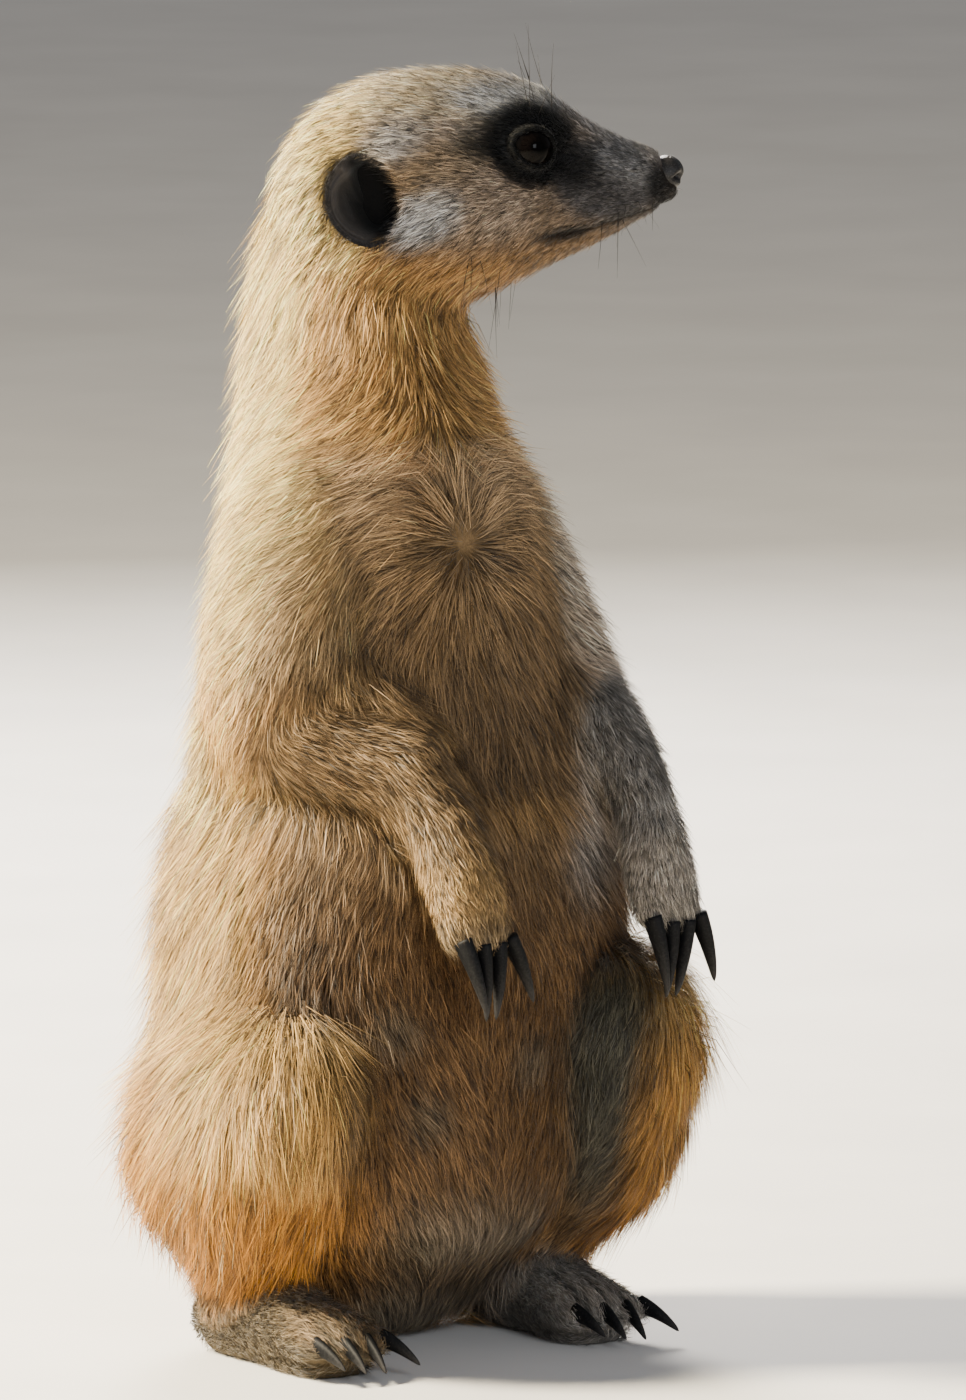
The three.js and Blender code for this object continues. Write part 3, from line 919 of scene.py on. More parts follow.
def regions() -> list[Region]:
    """Every region of the body, from the head down.

    Returns:
        The regions.
    """
    nose, nape = HEAD.place([(66, 0, 4), (-17, 0, 2)])
    jaw = Line((tuple(nose), tuple(nape)))
    tail = ((0, 16, 15), (1, 29, 12), (7, 48, 9.6), (21, 70, 8), (45, 91, 6.7), (73, 107, 5.7))
    tip = ((73, 107, 5.7), (102, 117, 4.8), (126, 122, 4), (142, 124, 3))
    found = [
        Region("head", jaw, Pelt.FACE, 0.45),
        Region("lower_jaw", jaw, Pelt.FACE, 0.45),
        Region("neck", Line(((0, 3, 244), (0, 0.5, 191))), Pelt.NECK, 1.0),
        Region("thorax", Line(((0, -3.5, 191), (1.5, -5.5, 116))), Pelt.CHEST, 1.0),
        Region("abdomen", Line(((1.5, -5.5, 116), (0, -2, 0))), Pelt.FLANK, 1.0),
        Region("tail_base", Line(tail[:4]), Pelt.TAIL, 0.6),
        Region("tail_middle", Line(tail + tip[1:2]), Pelt.TAIL, 0.5),
        Region("tail_tip", Line(tip), Pelt.TAIL, 0.4),
    ]
    for side, limbs in LIMB_LINES.items():
        for name, (line, pelt, evening) in limbs.items():
            found.append(Region(f"{name}_{side.word}", Line(line), pelt, evening))
    return found


@dataclass(frozen=True)
class EyeForm:
    """Where the eyes sit and how the lids open round them, in head places and degrees."""

    ahead: float = 34.8
    aside: float = 12.2
    up: float = 11.5
    radius: float = 4.9
    gaze: Place = (0.40, 0.90, 0.10)
    open_long: float = 54.0
    open_tall: float = 43.0
    front_corner: float = 20.0
    rear_corner: float = 6.0
    slant: float = -16.0

    def centre(self, side: Side) -> Array:
        """The eye's middle."""
        return HEAD.place((self.ahead, side.value * self.aside, self.up))

    def axes(self, side: Side) -> Array:
        """Towards the nose, upwards and out along the gaze, one to a row.

        Args:
            side: which eye.

        Returns:
            The axes.
        """
        gaze = unit(HEAD.turned((self.gaze[0], side.value * self.gaze[1], self.gaze[2])))
        ahead = HEAD.turned((1.0, 0.0, math.tan(math.radians(self.slant))))
        long = unit(ahead - gaze * (ahead @ gaze))
        tall = np.cross(long, gaze) * side.value
        return np.array([long, tall, gaze])

    def opening(self, turn: Array) -> Array:
        """How far from the gaze the lids' edge lies, by the turn from the front corner.

        Args:
            turn: turns, in radians.

        Returns:
            Degrees from the gaze.
        """
        oval = 1 / np.hypot(np.cos(turn) / self.open_long, np.sin(turn) / self.open_tall)
        front = self.front_corner * hump(turn / 0.36)
        rear = self.rear_corner * hump((math.pi - np.abs(turn)) / 0.4)
        return oval + front + rear


EYE = EyeForm()


@dataclass(frozen=True)
class EarForm:
    """Where the ears sit, in head places, and how they lean back, in degrees."""

    ahead: float = 1.3
    aside: float = 20.2
    up: float = 1.9
    long: float = 7.8
    tall: float = 9.1
    lean: float = 18.0

    def reach(self, spots: Array, side: Side) -> Array:
        """How far out from the ear's middle head places lie; 1 at its rim, large on the other side.

        Args:
            spots: head places.
            side: which ear.

        Returns:
            One number to a place.
        """
        turn = math.radians(self.lean)
        ahead, up = spots[:, 0] - self.ahead, spots[:, 2] - self.up
        long = (ahead * math.cos(turn) + up * math.sin(turn)) / self.long
        tall = (up * math.cos(turn) - ahead * math.sin(turn)) / self.tall
        return np.hypot(long, tall) + 9.0 * (side.value * spots[:, 1] < 6)


EAR = EarForm()


@dataclass(frozen=True)
class FaceForm:
    """A soft rise or hollow of the face, alike on both sides, in head places."""

    ahead: float
    aside: float
    up: float
    reach: Place
    rise: float


FACE_FORMS = (
    FaceForm(31.5, 14.0, 20.0, (7.0, 5.0, 3.2), 0.9),  # brow over the eye
    FaceForm(41.0, 9.5, 20.0, (5.0, 5.0, 3.2), 0.6),  # brow's front
    FaceForm(44.5, 11.0, 11.0, (4.2, 5.0, 4.5), -0.8),  # hollow ahead of the eye
    FaceForm(26.0, 19.0, 1.0, (8.0, 8.0, 5.5), 0.7),  # cheek
    FaceForm(38.0, 15.0, 2.5, (7.0, 6.0, 3.4), 0.4),  # cheekbone under the eye
    FaceForm(25.5, 18.0, 12.0, (5.5, 6.0, 5.0), -0.8),  # temple
    FaceForm(52.5, 7.5, -1.5, (6.5, 5.0, 3.2), 0.5),  # whisker pad
    FaceForm(11.5, 22.5, 3.0, (3.5, 5.0, 8.0), -0.7),  # hollow ahead of the ear
)


@dataclass(frozen=True)
class Hollow:
    """A place between two groups of regions that loose skin fills."""

    one: Names
    other: Names
    outside: float
    facing: Place
    spread: int
    steps: int


HOLLOWS = (
    Hollow(("thigh", "shank"), ("abdomen",), 1.0, (0.0, 0.5, 0.4), 70, 180),
    Hollow(("upper_arm",), ("forearm",), 0.4, (0.0, -1.0, 0.5), 60, 140),
    Hollow(("upper_arm", "forearm"), ("abdomen",), 1.0, (0.0, 0.7, 0.0), 50, 160),
)


@dataclass(frozen=True)
class Crease:
    """A fold where two groups of regions meet, on the side of the body that faces one way, with painted shade
    along it.
    """

    one: Names
    other: Names
    facing: Place
    depth: float
    # how much painted shade darkens the coat in the crease
    shade: float


CREASES = (
    Crease(("upper_arm",), ("thorax",), (0.0, -1.0, -0.2), 1.4, 0.2),
    Crease(("upper_arm", "forearm"), ("abdomen",), (0.0, -0.8, -0.4), 1.6, 0.4),
    Crease(("forearm",), ("upper_arm",), (0.0, -1.0, 0.3), 0.7, 0.15),
    Crease(("thigh", "shank"), ("abdomen",), (0.0, -1.0, 0.0), 1.8, 0.4),
    Crease(("foot",), ("shank",), (0.0, -1.0, 0.0), 0.8, 0.35),
)


@dataclass(frozen=True)
class Stroke:
    """A fold along a path, with painted shade along it, in millimetres across and up as seen from ahead and
    to the right.
    """

    path: tuple[tuple[float, float], ...]
    width: float
    depth: float
    # how much painted shade darkens the coat along the path
    shade: float
    nodes: Names

    def cover(self, seen: Array) -> Array:
        """How near the places lie to the path, fading out at its ends.

        Args:
            seen: places, across and up.

        Returns:
            From 0 to 1 for each place.
        """
        path = np.array(self.path)
        steps = np.concatenate([[0], np.cumsum(lengths(np.diff(path, axis=0)))])
        marks = np.linspace(0, steps[-1], 40)
        dense = np.stack([np.interp(marks, steps, path[:, k]) for k in range(2)], axis=1)
        distance = np.linalg.norm(seen[:, None, :] - dense[None], axis=2)
        nearest = distance.argmin(axis=1)
        fade = np.minimum(nearest, 39 - nearest) / 6
        close = distance[np.arange(len(seen)), nearest]
        return hump(close / self.width) * np.clip(0.3 + fade, 0, 1)


VIEW = np.array(((0.819, -0.574, 0.0), (0.080, 0.114, 0.990)))
VIEW_BACK = np.array((-0.568, -0.811, 0.139))
TRUNK_AND_ARMS = ("thorax", "abdomen", "upper_arm", "forearm")
# Folds pressed into the skin with painted shade along them; the first instead raises the skin and paints
# nothing.
STROKES = (
    Stroke(((-5, 138.0), (2.0, 130.0), (9.0, 122.5), (15.0, 117.0)), 4.6, -3.2, 0.0, TRUNK_AND_ARMS),
    Stroke(
        ((7, 161), (4, 159), (1, 152), (-0.5, 145), (1, 139), (5, 133.5), (10.5, 128), (17, 121), (23, 115)),
        1.7, 1.9, 0.7, TRUNK_AND_ARMS,
    ),
    Stroke(
        ((34.4, 161.3), (35.9, 159.3), (36.7, 156.0), (37.1, 142.1), (37.5, 129.8), (37.7, 121.6)),
        1.2, 1.0, 0.6, TRUNK_AND_ARMS,
    ),
    Stroke(((7.0, 160.9), (15.2, 159.9), (23.0, 158.5), (34.4, 161.3)), 0.9, 0.5, 0.4, ("thorax",)),
    Stroke(
        ((-12.0, 78.5), (-7.0, 66.2), (-4.2, 53.9), (-3.0, 41.6), (-2.6, 29.3)),
        1.8, 1.2, 0.55, ("abdomen", "thigh", "shank"),
    ),
    Stroke(((24.8, 60.1), (24.2, 47.8), (25.4, 35.5), (26.9, 24.2)), 1.3, 1.3, 0.6, ("abdomen", "thigh")),
    Stroke(((5.9, 17.0), (15.2, 13.7), (27.5, 16.0), (31.6, 21.1)), 1.8, 1.2, 0.7, ("abdomen",)),
)


@dataclass
class Body:
    """The flesh under the coat, as one skin with what grows on it at each point."""

    voxel: float = 1.42
    bridging: float = 0.45
    evening_steps: int = 40
    blend_steps: int = 12
    sole_height: float = 1.6
    mouth: tuple[tuple[float, float], ...] = ((38.0, -6.2), (47.0, -5.2), (58.0, -2.2), (65.5, -0.4))
    whorl: Place = (-0.3, -40.0, 167.0)
    whorl_reach: float = 14.0
    ear_floor: float = 15.4
    toe_spacing: float = 4.9
    groin: tuple[float, float] = (18.2, 24.2)
    groin_size: tuple[float, float] = (10.0, 7.0)
    groin_rise: float = 1.6
    toe_groove: float = 1.5
    ear_root: Place = (0.6, 16.8, 3.0)
    ear_root_size: Place = (9.4, 5.4, 11.2)
    nose_root: Place = (61.9, 0.0, 3.6)
    nose_root_size: Place = (3.4, 3.7, 4.3)
    nose_bare: Place = (62.7, 0.0, 4.9)
    nose_bare_size: Place = (3.6, 4.0, 3.6)
    regions: list[Region] = field(default_factory=regions)

    def build(self) -> None:
        """Shapes the skin and works out the lie, length and colour of the coat on it."""
        self.surface = self._remeshed()
        LOG.info("skin base: %d points, %d faces", len(self.surface.points), len(self.surface.faces))
        self.weights = self._belonging()
        self.headness = self.share("head", "lower_jaw")
        self._even_out()
        self._fill_hollows()
        self._mark_out()
        self._sink()
        self._fold()
        self._shape_face()
        self.normals = self.surface.normals()
        self.head_places = HEAD.read(self.surface.points)
        self._grow()
        self.lie = self._lie()
        self.runs = [self._along_skin(share) for share in (0.5, 1.0)]
        self.tint = Markings(self).paint()

    def members(self, nodes: Names) -> list[int]:
        """The numbers of the regions of the solids named."""
        return [i for i, region in enumerate(self.regions) if region.node in nodes]

    def share(self, *words: str) -> Array:
        """How much each point belongs to the regions whose names start with the words."""
        picked = [i for i, r in enumerate(self.regions) if r.node.startswith(words)]
        return self.weights[:, picked].sum(axis=1)

    def from_mouth(self, spots: Array) -> tuple[Array, Array]:
        """How far head places lie above the mouth's line, and how far along it they are.

        Args:
            spots: head places.

        Returns:
            The heights, and the shares of its length.
        """
        ahead, up = np.array(self.mouth).T
        above = spots[:, 2] - np.interp(spots[:, 0], ahead, up)
        return above, (spots[:, 0] - ahead[0]) / (ahead[-1] - ahead[0])

    def _fillers(self) -> list[Surface]:
        """Balls that carry the skin over the eyes, the nose and the ears' roots.

        Returns:
            The balls.
        """
        shape, places = ball(4), []
        for side in Side:
            places.append(shape.points * (EYE.radius + 0.3) + EYE.centre(side))
            root = np.array(self.ear_root) * (1, side.value, 1)
            places.append(HEAD.place(shape.points * self.ear_root_size + root))
        places.append(HEAD.place(shape.points * self.nose_root_size + self.nose_root))
        return [Surface(points, shape.faces) for points in places]

    def _remeshed(self) -> Surface:
        """One closed skin over all the flesh, finer on the face, hands and feet.

        Returns:
            The skin.
        """
        solids = [solid(region.node) for region in self.regions]
        parts = [Surface(part.points + part.normals() * self.bridging, part.faces) for part in solids]
        base = add_object("skin_base", joined(parts + self._fillers()).mesh("skin_base"))
        remesh = base.modifiers.new("skin", "REMESH")
        remesh.mode = "VOXEL"
        remesh.voxel_size = self.voxel * MM
        piece = plain_mesh(base, "skin_shape")
        shape = bmesh.new()
        shape.from_mesh(piece.data)
        for finer in (self._fine, self._finest):
            middles = np.array([f.calc_center_median() for f in shape.faces]) / MM
            chosen = finer(middles)
            edges = {e for f, wanted in zip(shape.faces, chosen) if wanted for e in f.edges}
            bmesh.ops.subdivide_edges(shape, edges=list(edges), cuts=1, use_grid_fill=True)
        bmesh.ops.triangulate(shape, faces=shape.faces[:])
        shape.to_mesh(piece.data)
        shape.free()
        made = surface_of(piece.data)
        discard(piece)
        return made

    def _fine(self, points: Array) -> Array:
        """Where the skin needs half-sized faces.

        Args:
            points: one point to a row.

        Returns:
            Whether each point is in such a place.
        """
        spots = HEAD.read(points)
        face = (spots[:, 0] > 22) & (points[:, 2] > 212)
        hands = (points[:, 2] > 80) & (points[:, 2] < 102) & (points[:, 1] < -46)
        feet = (points[:, 2] < 15) & (points[:, 1] < -24)
        return face | hands | feet

    def _finest(self, points: Array) -> Array:
        """Where the skin needs quarter-sized faces.

        Args:
            points: one point to a row.

        Returns:
            Whether each point is in such a place.
        """
        spots = HEAD.read(points)
        eyes = np.zeros(len(points), bool)
        for side in Side:
            eyes |= lengths(points - EYE.centre(side)) < 8.3
        above, along = self.from_mouth(spots)
        mouth = (np.abs(above) < 1.4) & (along > 0.0) & (points[:, 2] > 220)
        return eyes | mouth | ((spots[:, 0] > 58) & (points[:, 2] > 220))

    def _belonging(self) -> Array:
        """How much each point belongs to each region, softly across the joins.

        Returns:
            A row to a point and a column to a region, adding up to 1.
        """
        parts = [solid(region.node) for region in self.regions]
        owners = np.repeat(np.arange(len(parts)), [len(part.faces) for part in parts])
        tree = joined(parts).tree()
        nearest = [tree.find_nearest(Vector(p))[2] for p in self.surface.points]
        weights = np.zeros((len(nearest), len(parts)))
        weights[np.arange(len(nearest)), owners[nearest]] = 1
        return self.surface.evened(weights, self.blend_steps)

    def _even_out(self) -> None:
        """Smooths the facets away, most on the trunk and least on hands, feet and face."""
        evening = self.weights @ np.array([r.evening for r in self.regions])
        spots = HEAD.read(self.surface.points)
        evening *= 1 - 0.3 * self.headness * soft(spots[:, 0], 15, 45)
        self.surface.points = self.surface.evened(
            self.surface.points, self.evening_steps, 0.5 * evening[:, None]
        )

    def _fill_hollows(self) -> None:
        """Fills the hollows at haunch and elbow from outside, as loose skin does."""
        for hollow in HOLLOWS:
            normals = self.surface.normals()
            one = self.surface.evened(self.share(*hollow.one), hollow.spread)
            other = self.surface.evened(self.share(*hollow.other), hollow.spread)
            outwards = self.surface.points[:, :1] * (1, 0, 0)
            facing = dot(normals, np.sign(outwards) * hollow.outside + np.array(hollow.facing))[:, 0]
            rim = np.clip(5 * one * other, 0, 1) * soft(facing, -0.1, 0.4)
            rim *= soft(self.surface.points[:, 2], 12, 30)
            filled = self.surface.evened(self.surface.points, hollow.steps, 0.5 * rim[:, None])
            lift = np.maximum(dot(filled - self.surface.points, normals), 0)
            self.surface.points = self.surface.points + normals * lift

    def _mark_out(self) -> None:
        """Marks the thinly furred belly and the bare insides of the legs."""
        points, normals = self.surface.points, self.surface.normals()
        ahead = soft(-normals[:, 1], 0.15, 0.75)
        self.belly = self.share("abdomen") * ahead * soft(points[:, 2], 128, 100)
        facing = np.zeros(len(points))
        for side in Side:
            leg = self.share(f"thigh_{side.word}", f"shank_{side.word}")
            low, high = (-0.25, 0.45) if side is Side.LEFT else (0.05, 0.75)
            facing += leg * soft(-side.value * normals[:, 0], low, high)
        self.inner_leg = self.surface.evened(facing * soft(-normals[:, 1], -0.5, 0.1), 6)

    def _sink(self) -> None:
        """Draws the skin in by the coat's depth, all but the soles."""
        depths = self.weights @ np.array([r.pelt.value.depth for r in self.regions])
        depths *= (1 - 0.45 * self.belly) * (1 - 0.6 * self.inner_leg)
        spots = HEAD.read(self.surface.points)
        depths += self.headness * np.interp(spots[:, 0], (-10, 10, 30, 60), (1.6, 0.8, 0.1, -0.35))
        normals = self.surface.normals()
        depths = self.surface.evened(depths, 10)
        moved = self.surface.points - normals * depths[:, None]
        foot = self.share("foot")
        sole = (normals[:, 2] < -0.4) & (self.surface.points[:, 2] < self.sole_height) & (foot > 0.5)
        moved[sole, 2] = 0.05
        moved[:, 2] = np.maximum(moved[:, 2], 0.05)
        rough = 0.5 * (1 - soft(spots[:, 0], 10, 30) * self.headness)[:, None]
        self.surface.points = self.surface.evened(moved, 4, rough)

    def _fold(self) -> None:
        """Presses the folds between limbs and trunk and the grooves between toes into the skin, and keeps how
        much painted shade each fold gets.
        """
        normals = self.surface.normals()
        # fold: the painted shade of the folds, which also shortens the hair there
        self.fold = np.zeros(len(normals))
        pressed = np.zeros(len(normals))
        for crease in CREASES:
            meeting = np.clip(4 * self.share(*crease.one) * self.share(*crease.other), 0, 1)
            meeting *= soft(normals @ unit(np.array(crease.facing)), -0.1, 0.5)
            pressed += crease.depth * meeting
            self.fold += crease.shade * meeting
        seen, faced = self.surface.points @ VIEW.T, soft(normals @ VIEW_BACK, 0.0, 0.4)
        for stroke in STROKES:
            cover = stroke.cover(seen) * faced * self.share(*stroke.nodes)
            pressed += stroke.depth * cover
            self.fold = np.maximum(self.fold, stroke.shade * cover)
        from_groin = lengths((seen - self.groin) / self.groin_size)
        pressed -= self.groin_rise * hump(from_groin) * faced * self.share("abdomen")
        self.toe_gap = self._toe_gaps(normals)
        pressed += self.toe_groove * self.toe_gap
        self.surface.points = self.surface.points - normals * pressed[:, None]

    def _toe_gaps(self, normals: Array) -> Array:
        """Where the grooves between the toes run, on top of the feet's front half.

        Args:
            normals: the skin's normals.

        Returns:
            From 0 to 1 for each point.
        """
        gaps = np.zeros(len(normals))
        for side in Side:
            heel, _, toes = LIMB_LINES[side]["foot"][0]
            share = np.clip((heel[1] - self.surface.points[:, 1]) / (heel[1] - toes[1]), 0, 1.3)
            middle = heel[0] + (toes[0] - heel[0]) * share
            spread = self.toe_spacing * (0.7 + 0.3 * share)
            offset = (self.surface.points[:, 0] - middle) / spread
            from_gap = np.abs(offset - np.clip(np.round(offset), -1, 1)) * spread
            along = soft(share, 0.40, 0.75)
            gaps += self.share(f"foot_{side.word}") * along * hump(from_gap / 0.75)
        return gaps * soft(normals[:, 2], -0.2, 0.3)

    def _shape_face(self) -> None:
        """Adds the face's forms, the mouth, the hollows for the ears and the eyelids."""
        spots = HEAD.read(self.surface.points)
        normals = self.surface.normals()
        sided = np.stack((spots[:, 0], np.abs(spots[:, 1]), spots[:, 2]), axis=1)
        rise = np.zeros(len(spots))
        for form in FACE_FORMS:
            away = (sided - (form.ahead, form.aside, form.up)) / np.array(form.reach)
            rise += form.rise * np.exp(-np.sum(away**2, axis=1))
        above, along = self.from_mouth(spots)
        lips = soft(along, -0.04, 0.1) * (1 - soft(along, 0.93, 1.0))
        rise += lips * (
            -0.75 * hump(above / 0.45)
            + 0.32 * hump((above - 1.5) / 1.1)
            - 0.35 * hump((above + 1.6) / 1.3)
        )
        moved = self.surface.points + normals * (rise * np.minimum(2 * self.headness, 1))[:, None]
        for side in Side:
            spots = HEAD.read(moved)
            sunk = soft(EAR.reach(spots, side), 1.06, 0.86) * np.minimum(2 * self.headness, 1)
            deep = np.minimum(np.abs(spots[:, 1]), self.ear_floor) * side.value
            spots[:, 1] += (deep - spots[:, 1]) * sunk
            moved = np.where(sunk[:, None] > 0, HEAD.place(spots), moved)
        self.surface.points = moved
        for side in Side:
            self._open_eye(side)

    def _open_eye(self, side: Side) -> None:
        """Draws the skin in behind the eyeball and folds it into lids round the opening.

        Args:
            side: which eye.
        """
        from_eye = self.surface.points - EYE.centre(side)
        distance = lengths(from_eye)
        near = np.nonzero(distance < 13)[0]
        way = from_eye[near] / distance[near, None]
        long, tall, out = (way @ EYE.axes(side).T).T
        tilt = np.degrees(np.arccos(np.clip(out, -1, 1)))
        ratio = tilt / EYE.opening(np.arctan2(tall, long))
        lid = EYE.radius + 0.4 + 0.3 * hump((ratio - 1.15) / 0.16)
        inner = EYE.radius - 1.1
        shaped = inner + (lid - inner) * soft(ratio, 0.93, 1.03)
        kept = soft(ratio, 1.2, 2.1)
        wanted = shaped * (1 - kept) + distance[near] * kept
        self.surface.points[near] = EYE.centre(side) + way * wanted[:, None]

    def _pelt_mean(self, name: str) -> Array:
        """One number of the coats, mixed at each point by how much it belongs to each region."""
        return self.weights @ np.array([getattr(r.pelt.value, name) for r in self.regions])

    def _grow(self) -> None:
        """Sets the hair's length, width, density, lift and clumping at each point."""
        self.length, self.width = self._pelt_mean("length"), self._pelt_mean("width")
        self.density, self.lift = self._pelt_mean("density"), self._pelt_mean("lift")
        self.clump = self._pelt_mean("clump")
        self.length *= 1 - 0.45 * np.clip(self.fold, 0, 1)
        self._grow_head()
        self._grow_body()
        self._thin_out()

    def _grow_head(self) -> None:
        """Lengthens the head's hair from the nose back."""
        head, ahead, up = self.headness, self.head_places[:, 0], self.head_places[:, 2]
        grown = np.interp(ahead, (-12, 0, 12, 26, 36, 46, 58, 66), (7.0, 5.2, 4.2, 3.3, 2.5, 1.9, 1.4, 1.1))
        grown *= 1 + 0.5 * soft(up, -6, -16) * (ahead < 40)
        self.length += head * (grown - Pelt.FACE.value.length)
        self.width += head * np.interp(ahead, (-12, 10, 30, 60), (0.05, 0.03, 0.0, -0.02))
        self.density += head * np.interp(ahead, (-12, 10, 30, 45, 60), (-6.0, -4.0, 0, 3.0, 5.0))
        self.clump += head * np.interp(ahead, (-12, 10, 35, 60), (0.5, 0.3, 0.0, -0.1))

    def _grow_body(self) -> None:
        """Shortens the hair on the belly, the insides of the legs and the ankles."""
        height = self.surface.points[:, 2]
        self.length += self.belly * (6.5 - self.length) * 0.9
        self.length += self.inner_leg * (4.5 - self.length) * 0.9
        self.width *= 1 - 0.15 * np.maximum(self.belly, self.inner_leg)
        self.lift *= 1 - 0.3 * self.inner_leg
        self.clump *= 1 - 0.35 * np.maximum(self.belly, self.inner_leg)
        self.length += self.share("hand") * soft(height, 96, 88) * 2.2
        self.length += self.share("foot") * soft(self.surface.points[:, 1], -30, -42) * 1.6
        ankle = self.share("shank") * soft(height, 24, 15)
        self.length += ankle * (4.0 - self.length)
        back = self.share("abdomen", "thorax", "neck") * soft(self.normals[:, 1], -0.2, 0.6)
        self.length *= 1 + 0.12 * back

    def _thin_out(self) -> None:
        """Clears the hair from the eyes, the ears' hollows, the nose and the soles."""
        soles = self.share("foot") * soft(-self.normals[:, 2], 0.2, 0.6)
        self.density *= 1 - 0.95 * soles
        for side in Side:
            away = lengths(self.surface.points - EYE.centre(side))
            self.density *= soft(away, EYE.radius + 0.1, EYE.radius + 0.45)
            self.length *= 1 - 0.68 * soft(away, 9, 5.8)
            ear = EAR.reach(self.head_places, side)
            before = 0.14 * soft(self.head_places[:, 0], EAR.ahead, EAR.ahead + 5)
            self.density *= soft(ear + before, 0.98, 1.05)
            self.length *= 1 - 0.4 * soft(ear, 1.35, 1.05)
        nose = lengths((self.head_places - self.nose_bare) / self.nose_bare_size)
        self.density *= soft(nose, 1.0, 1.2)

    def _lie(self) -> Array:
        """The direction in which the coat lies, along the skin.

        Returns:
            One direction to a point.
        """
        points = self.surface.points
        lie = np.zeros_like(points)
        for i, region in enumerate(self.regions):
            lie += self.weights[:, i : i + 1] * self._region_lie(region, points)
        away = points - np.array(self.whorl)
        distance = np.linalg.norm(away, axis=1, keepdims=True)
        strength = hump(distance / self.whorl_reach) * self.share("thorax", "neck")[:, None]
        lie = unit(lie) * (1 - strength) + unit(away) * strength * 1.3
        lie = lie - self.normals * dot(lie, self.normals)
        lie = self.surface.evened(lie, 8)
        turn = np.radians(16 * noise(points, 11.0, 21) + 9 * noise(points, 4.5, 22))[:, None]
        turn *= 1 - self.headness[:, None]
        lie = unit(lie - self.normals * dot(lie, self.normals))
        return lie * np.cos(turn) + np.cross(self.normals, lie) * np.sin(turn)

    def _region_lie(self, region: Region, points: Array) -> Array:
        """The direction of a region's coat before it meets its neighbours'.

        Args:
            region: the region.
            points: one point to a row.

        Returns:
            One direction to a point.
        """
        _, ahead, _ = region.line.follow(points)
        kind, height = region.node.rsplit("_", 1)[0], points[:, 2:3]
        side = np.clip(points[:, :1] / 12, -1, 1)
        backwards = np.concatenate([0.8 * side, np.ones_like(side), np.zeros_like(side)], axis=1)
        inwards = np.concatenate([-side, np.zeros_like(side), np.zeros_like(side)], axis=1)
        if region.node in ("head", "lower_jaw"):
            spots = HEAD.read(points)
            drop = 0.55 * soft(spots[:, 2], 9, -6) * soft(spots[:, 0], 50, 20)
            drop += 0.35 * soft(spots[:, 0], 12, -8)
            return unit(ahead + drop[:, None] * np.array((0, 0, -1.0)))
        if region.node == "neck":
            return unit(ahead + backwards * (0.2 + 0.7 * soft(height, 212, 192)))
        if region.node == "thorax":
            return unit(ahead + backwards * (0.15 + 0.95 * soft(height, 150, 182)))
        if region.node == "abdomen":
            low = soft(height, 95, 60)
            return unit(ahead + backwards * 0.2 + 0.75 * inwards * low * self.belly[:, None])
        if kind == "upper_arm":
            return unit(ahead + backwards * (0.35 + 0.5 * soft(height, 140, 172)))
        if kind in ("thigh", "shank"):
            knee = KNEES[Side.RIGHT if region.node.endswith("right") else Side.LEFT]
            from_knee = (points - np.array(knee)) * (1, 1, 0)
            reach = np.linalg.norm(from_knee, axis=1, keepdims=True)
            fan = 0.6 * unit(from_knee) * soft(reach, 0, 14)
            inner = 0.5 * inwards * self.inner_leg[:, None]
            return unit(fan + inner + np.array((0, 0, -1.0)))
        return ahead

    def _along_skin(self, share: float) -> Array:
        """Which way the skin runs from each point to where a share of its hair's length ends.

        Args:
            share: the share of the hair's length.

        Returns:
            One direction to a point.
        """
        skin = self.surface.tree()
        reach = (share * self.length)[:, None]
        ends = self.surface.points + self.lie * reach
        found = np.array([skin.find_nearest(Vector(end))[0] for end in ends])
        way = unit(found - self.surface.points + 0.02 * self.lie)
        fall = np.clip(dot(way, self.normals), -0.55, 0.35)
        level = unit(way - self.normals * dot(way, self.normals))
        return level * np.sqrt(1 - fall**2) + self.normals * fall


# ---- Markings ----


@dataclass(frozen=True)
class Patch:
    """A soft oval marking on each side of the head, in head places and degrees."""

    shade: Shade
    ahead: float
    up: float
    long: float
    tall: float
    slant: float
    strength: float
    edge: float = 0.35

    def cover(self, spots: Array) -> Array:
        """How far the marking covers each head place.

        Args:
            spots: head places.

        Returns:
            From 0 to the full strength for each place.
        """
        turn = math.radians(self.slant)
        ahead, up = spots[:, 0] - self.ahead, spots[:, 2] - self.up
        along = (ahead * math.cos(turn) + up * math.sin(turn)) / self.long
        across = (up * math.cos(turn) - ahead * math.sin(turn)) / self.tall
        radius = np.hypot(along, across)
        return self.strength * soft(radius, 1 + self.edge, 1 - self.edge)


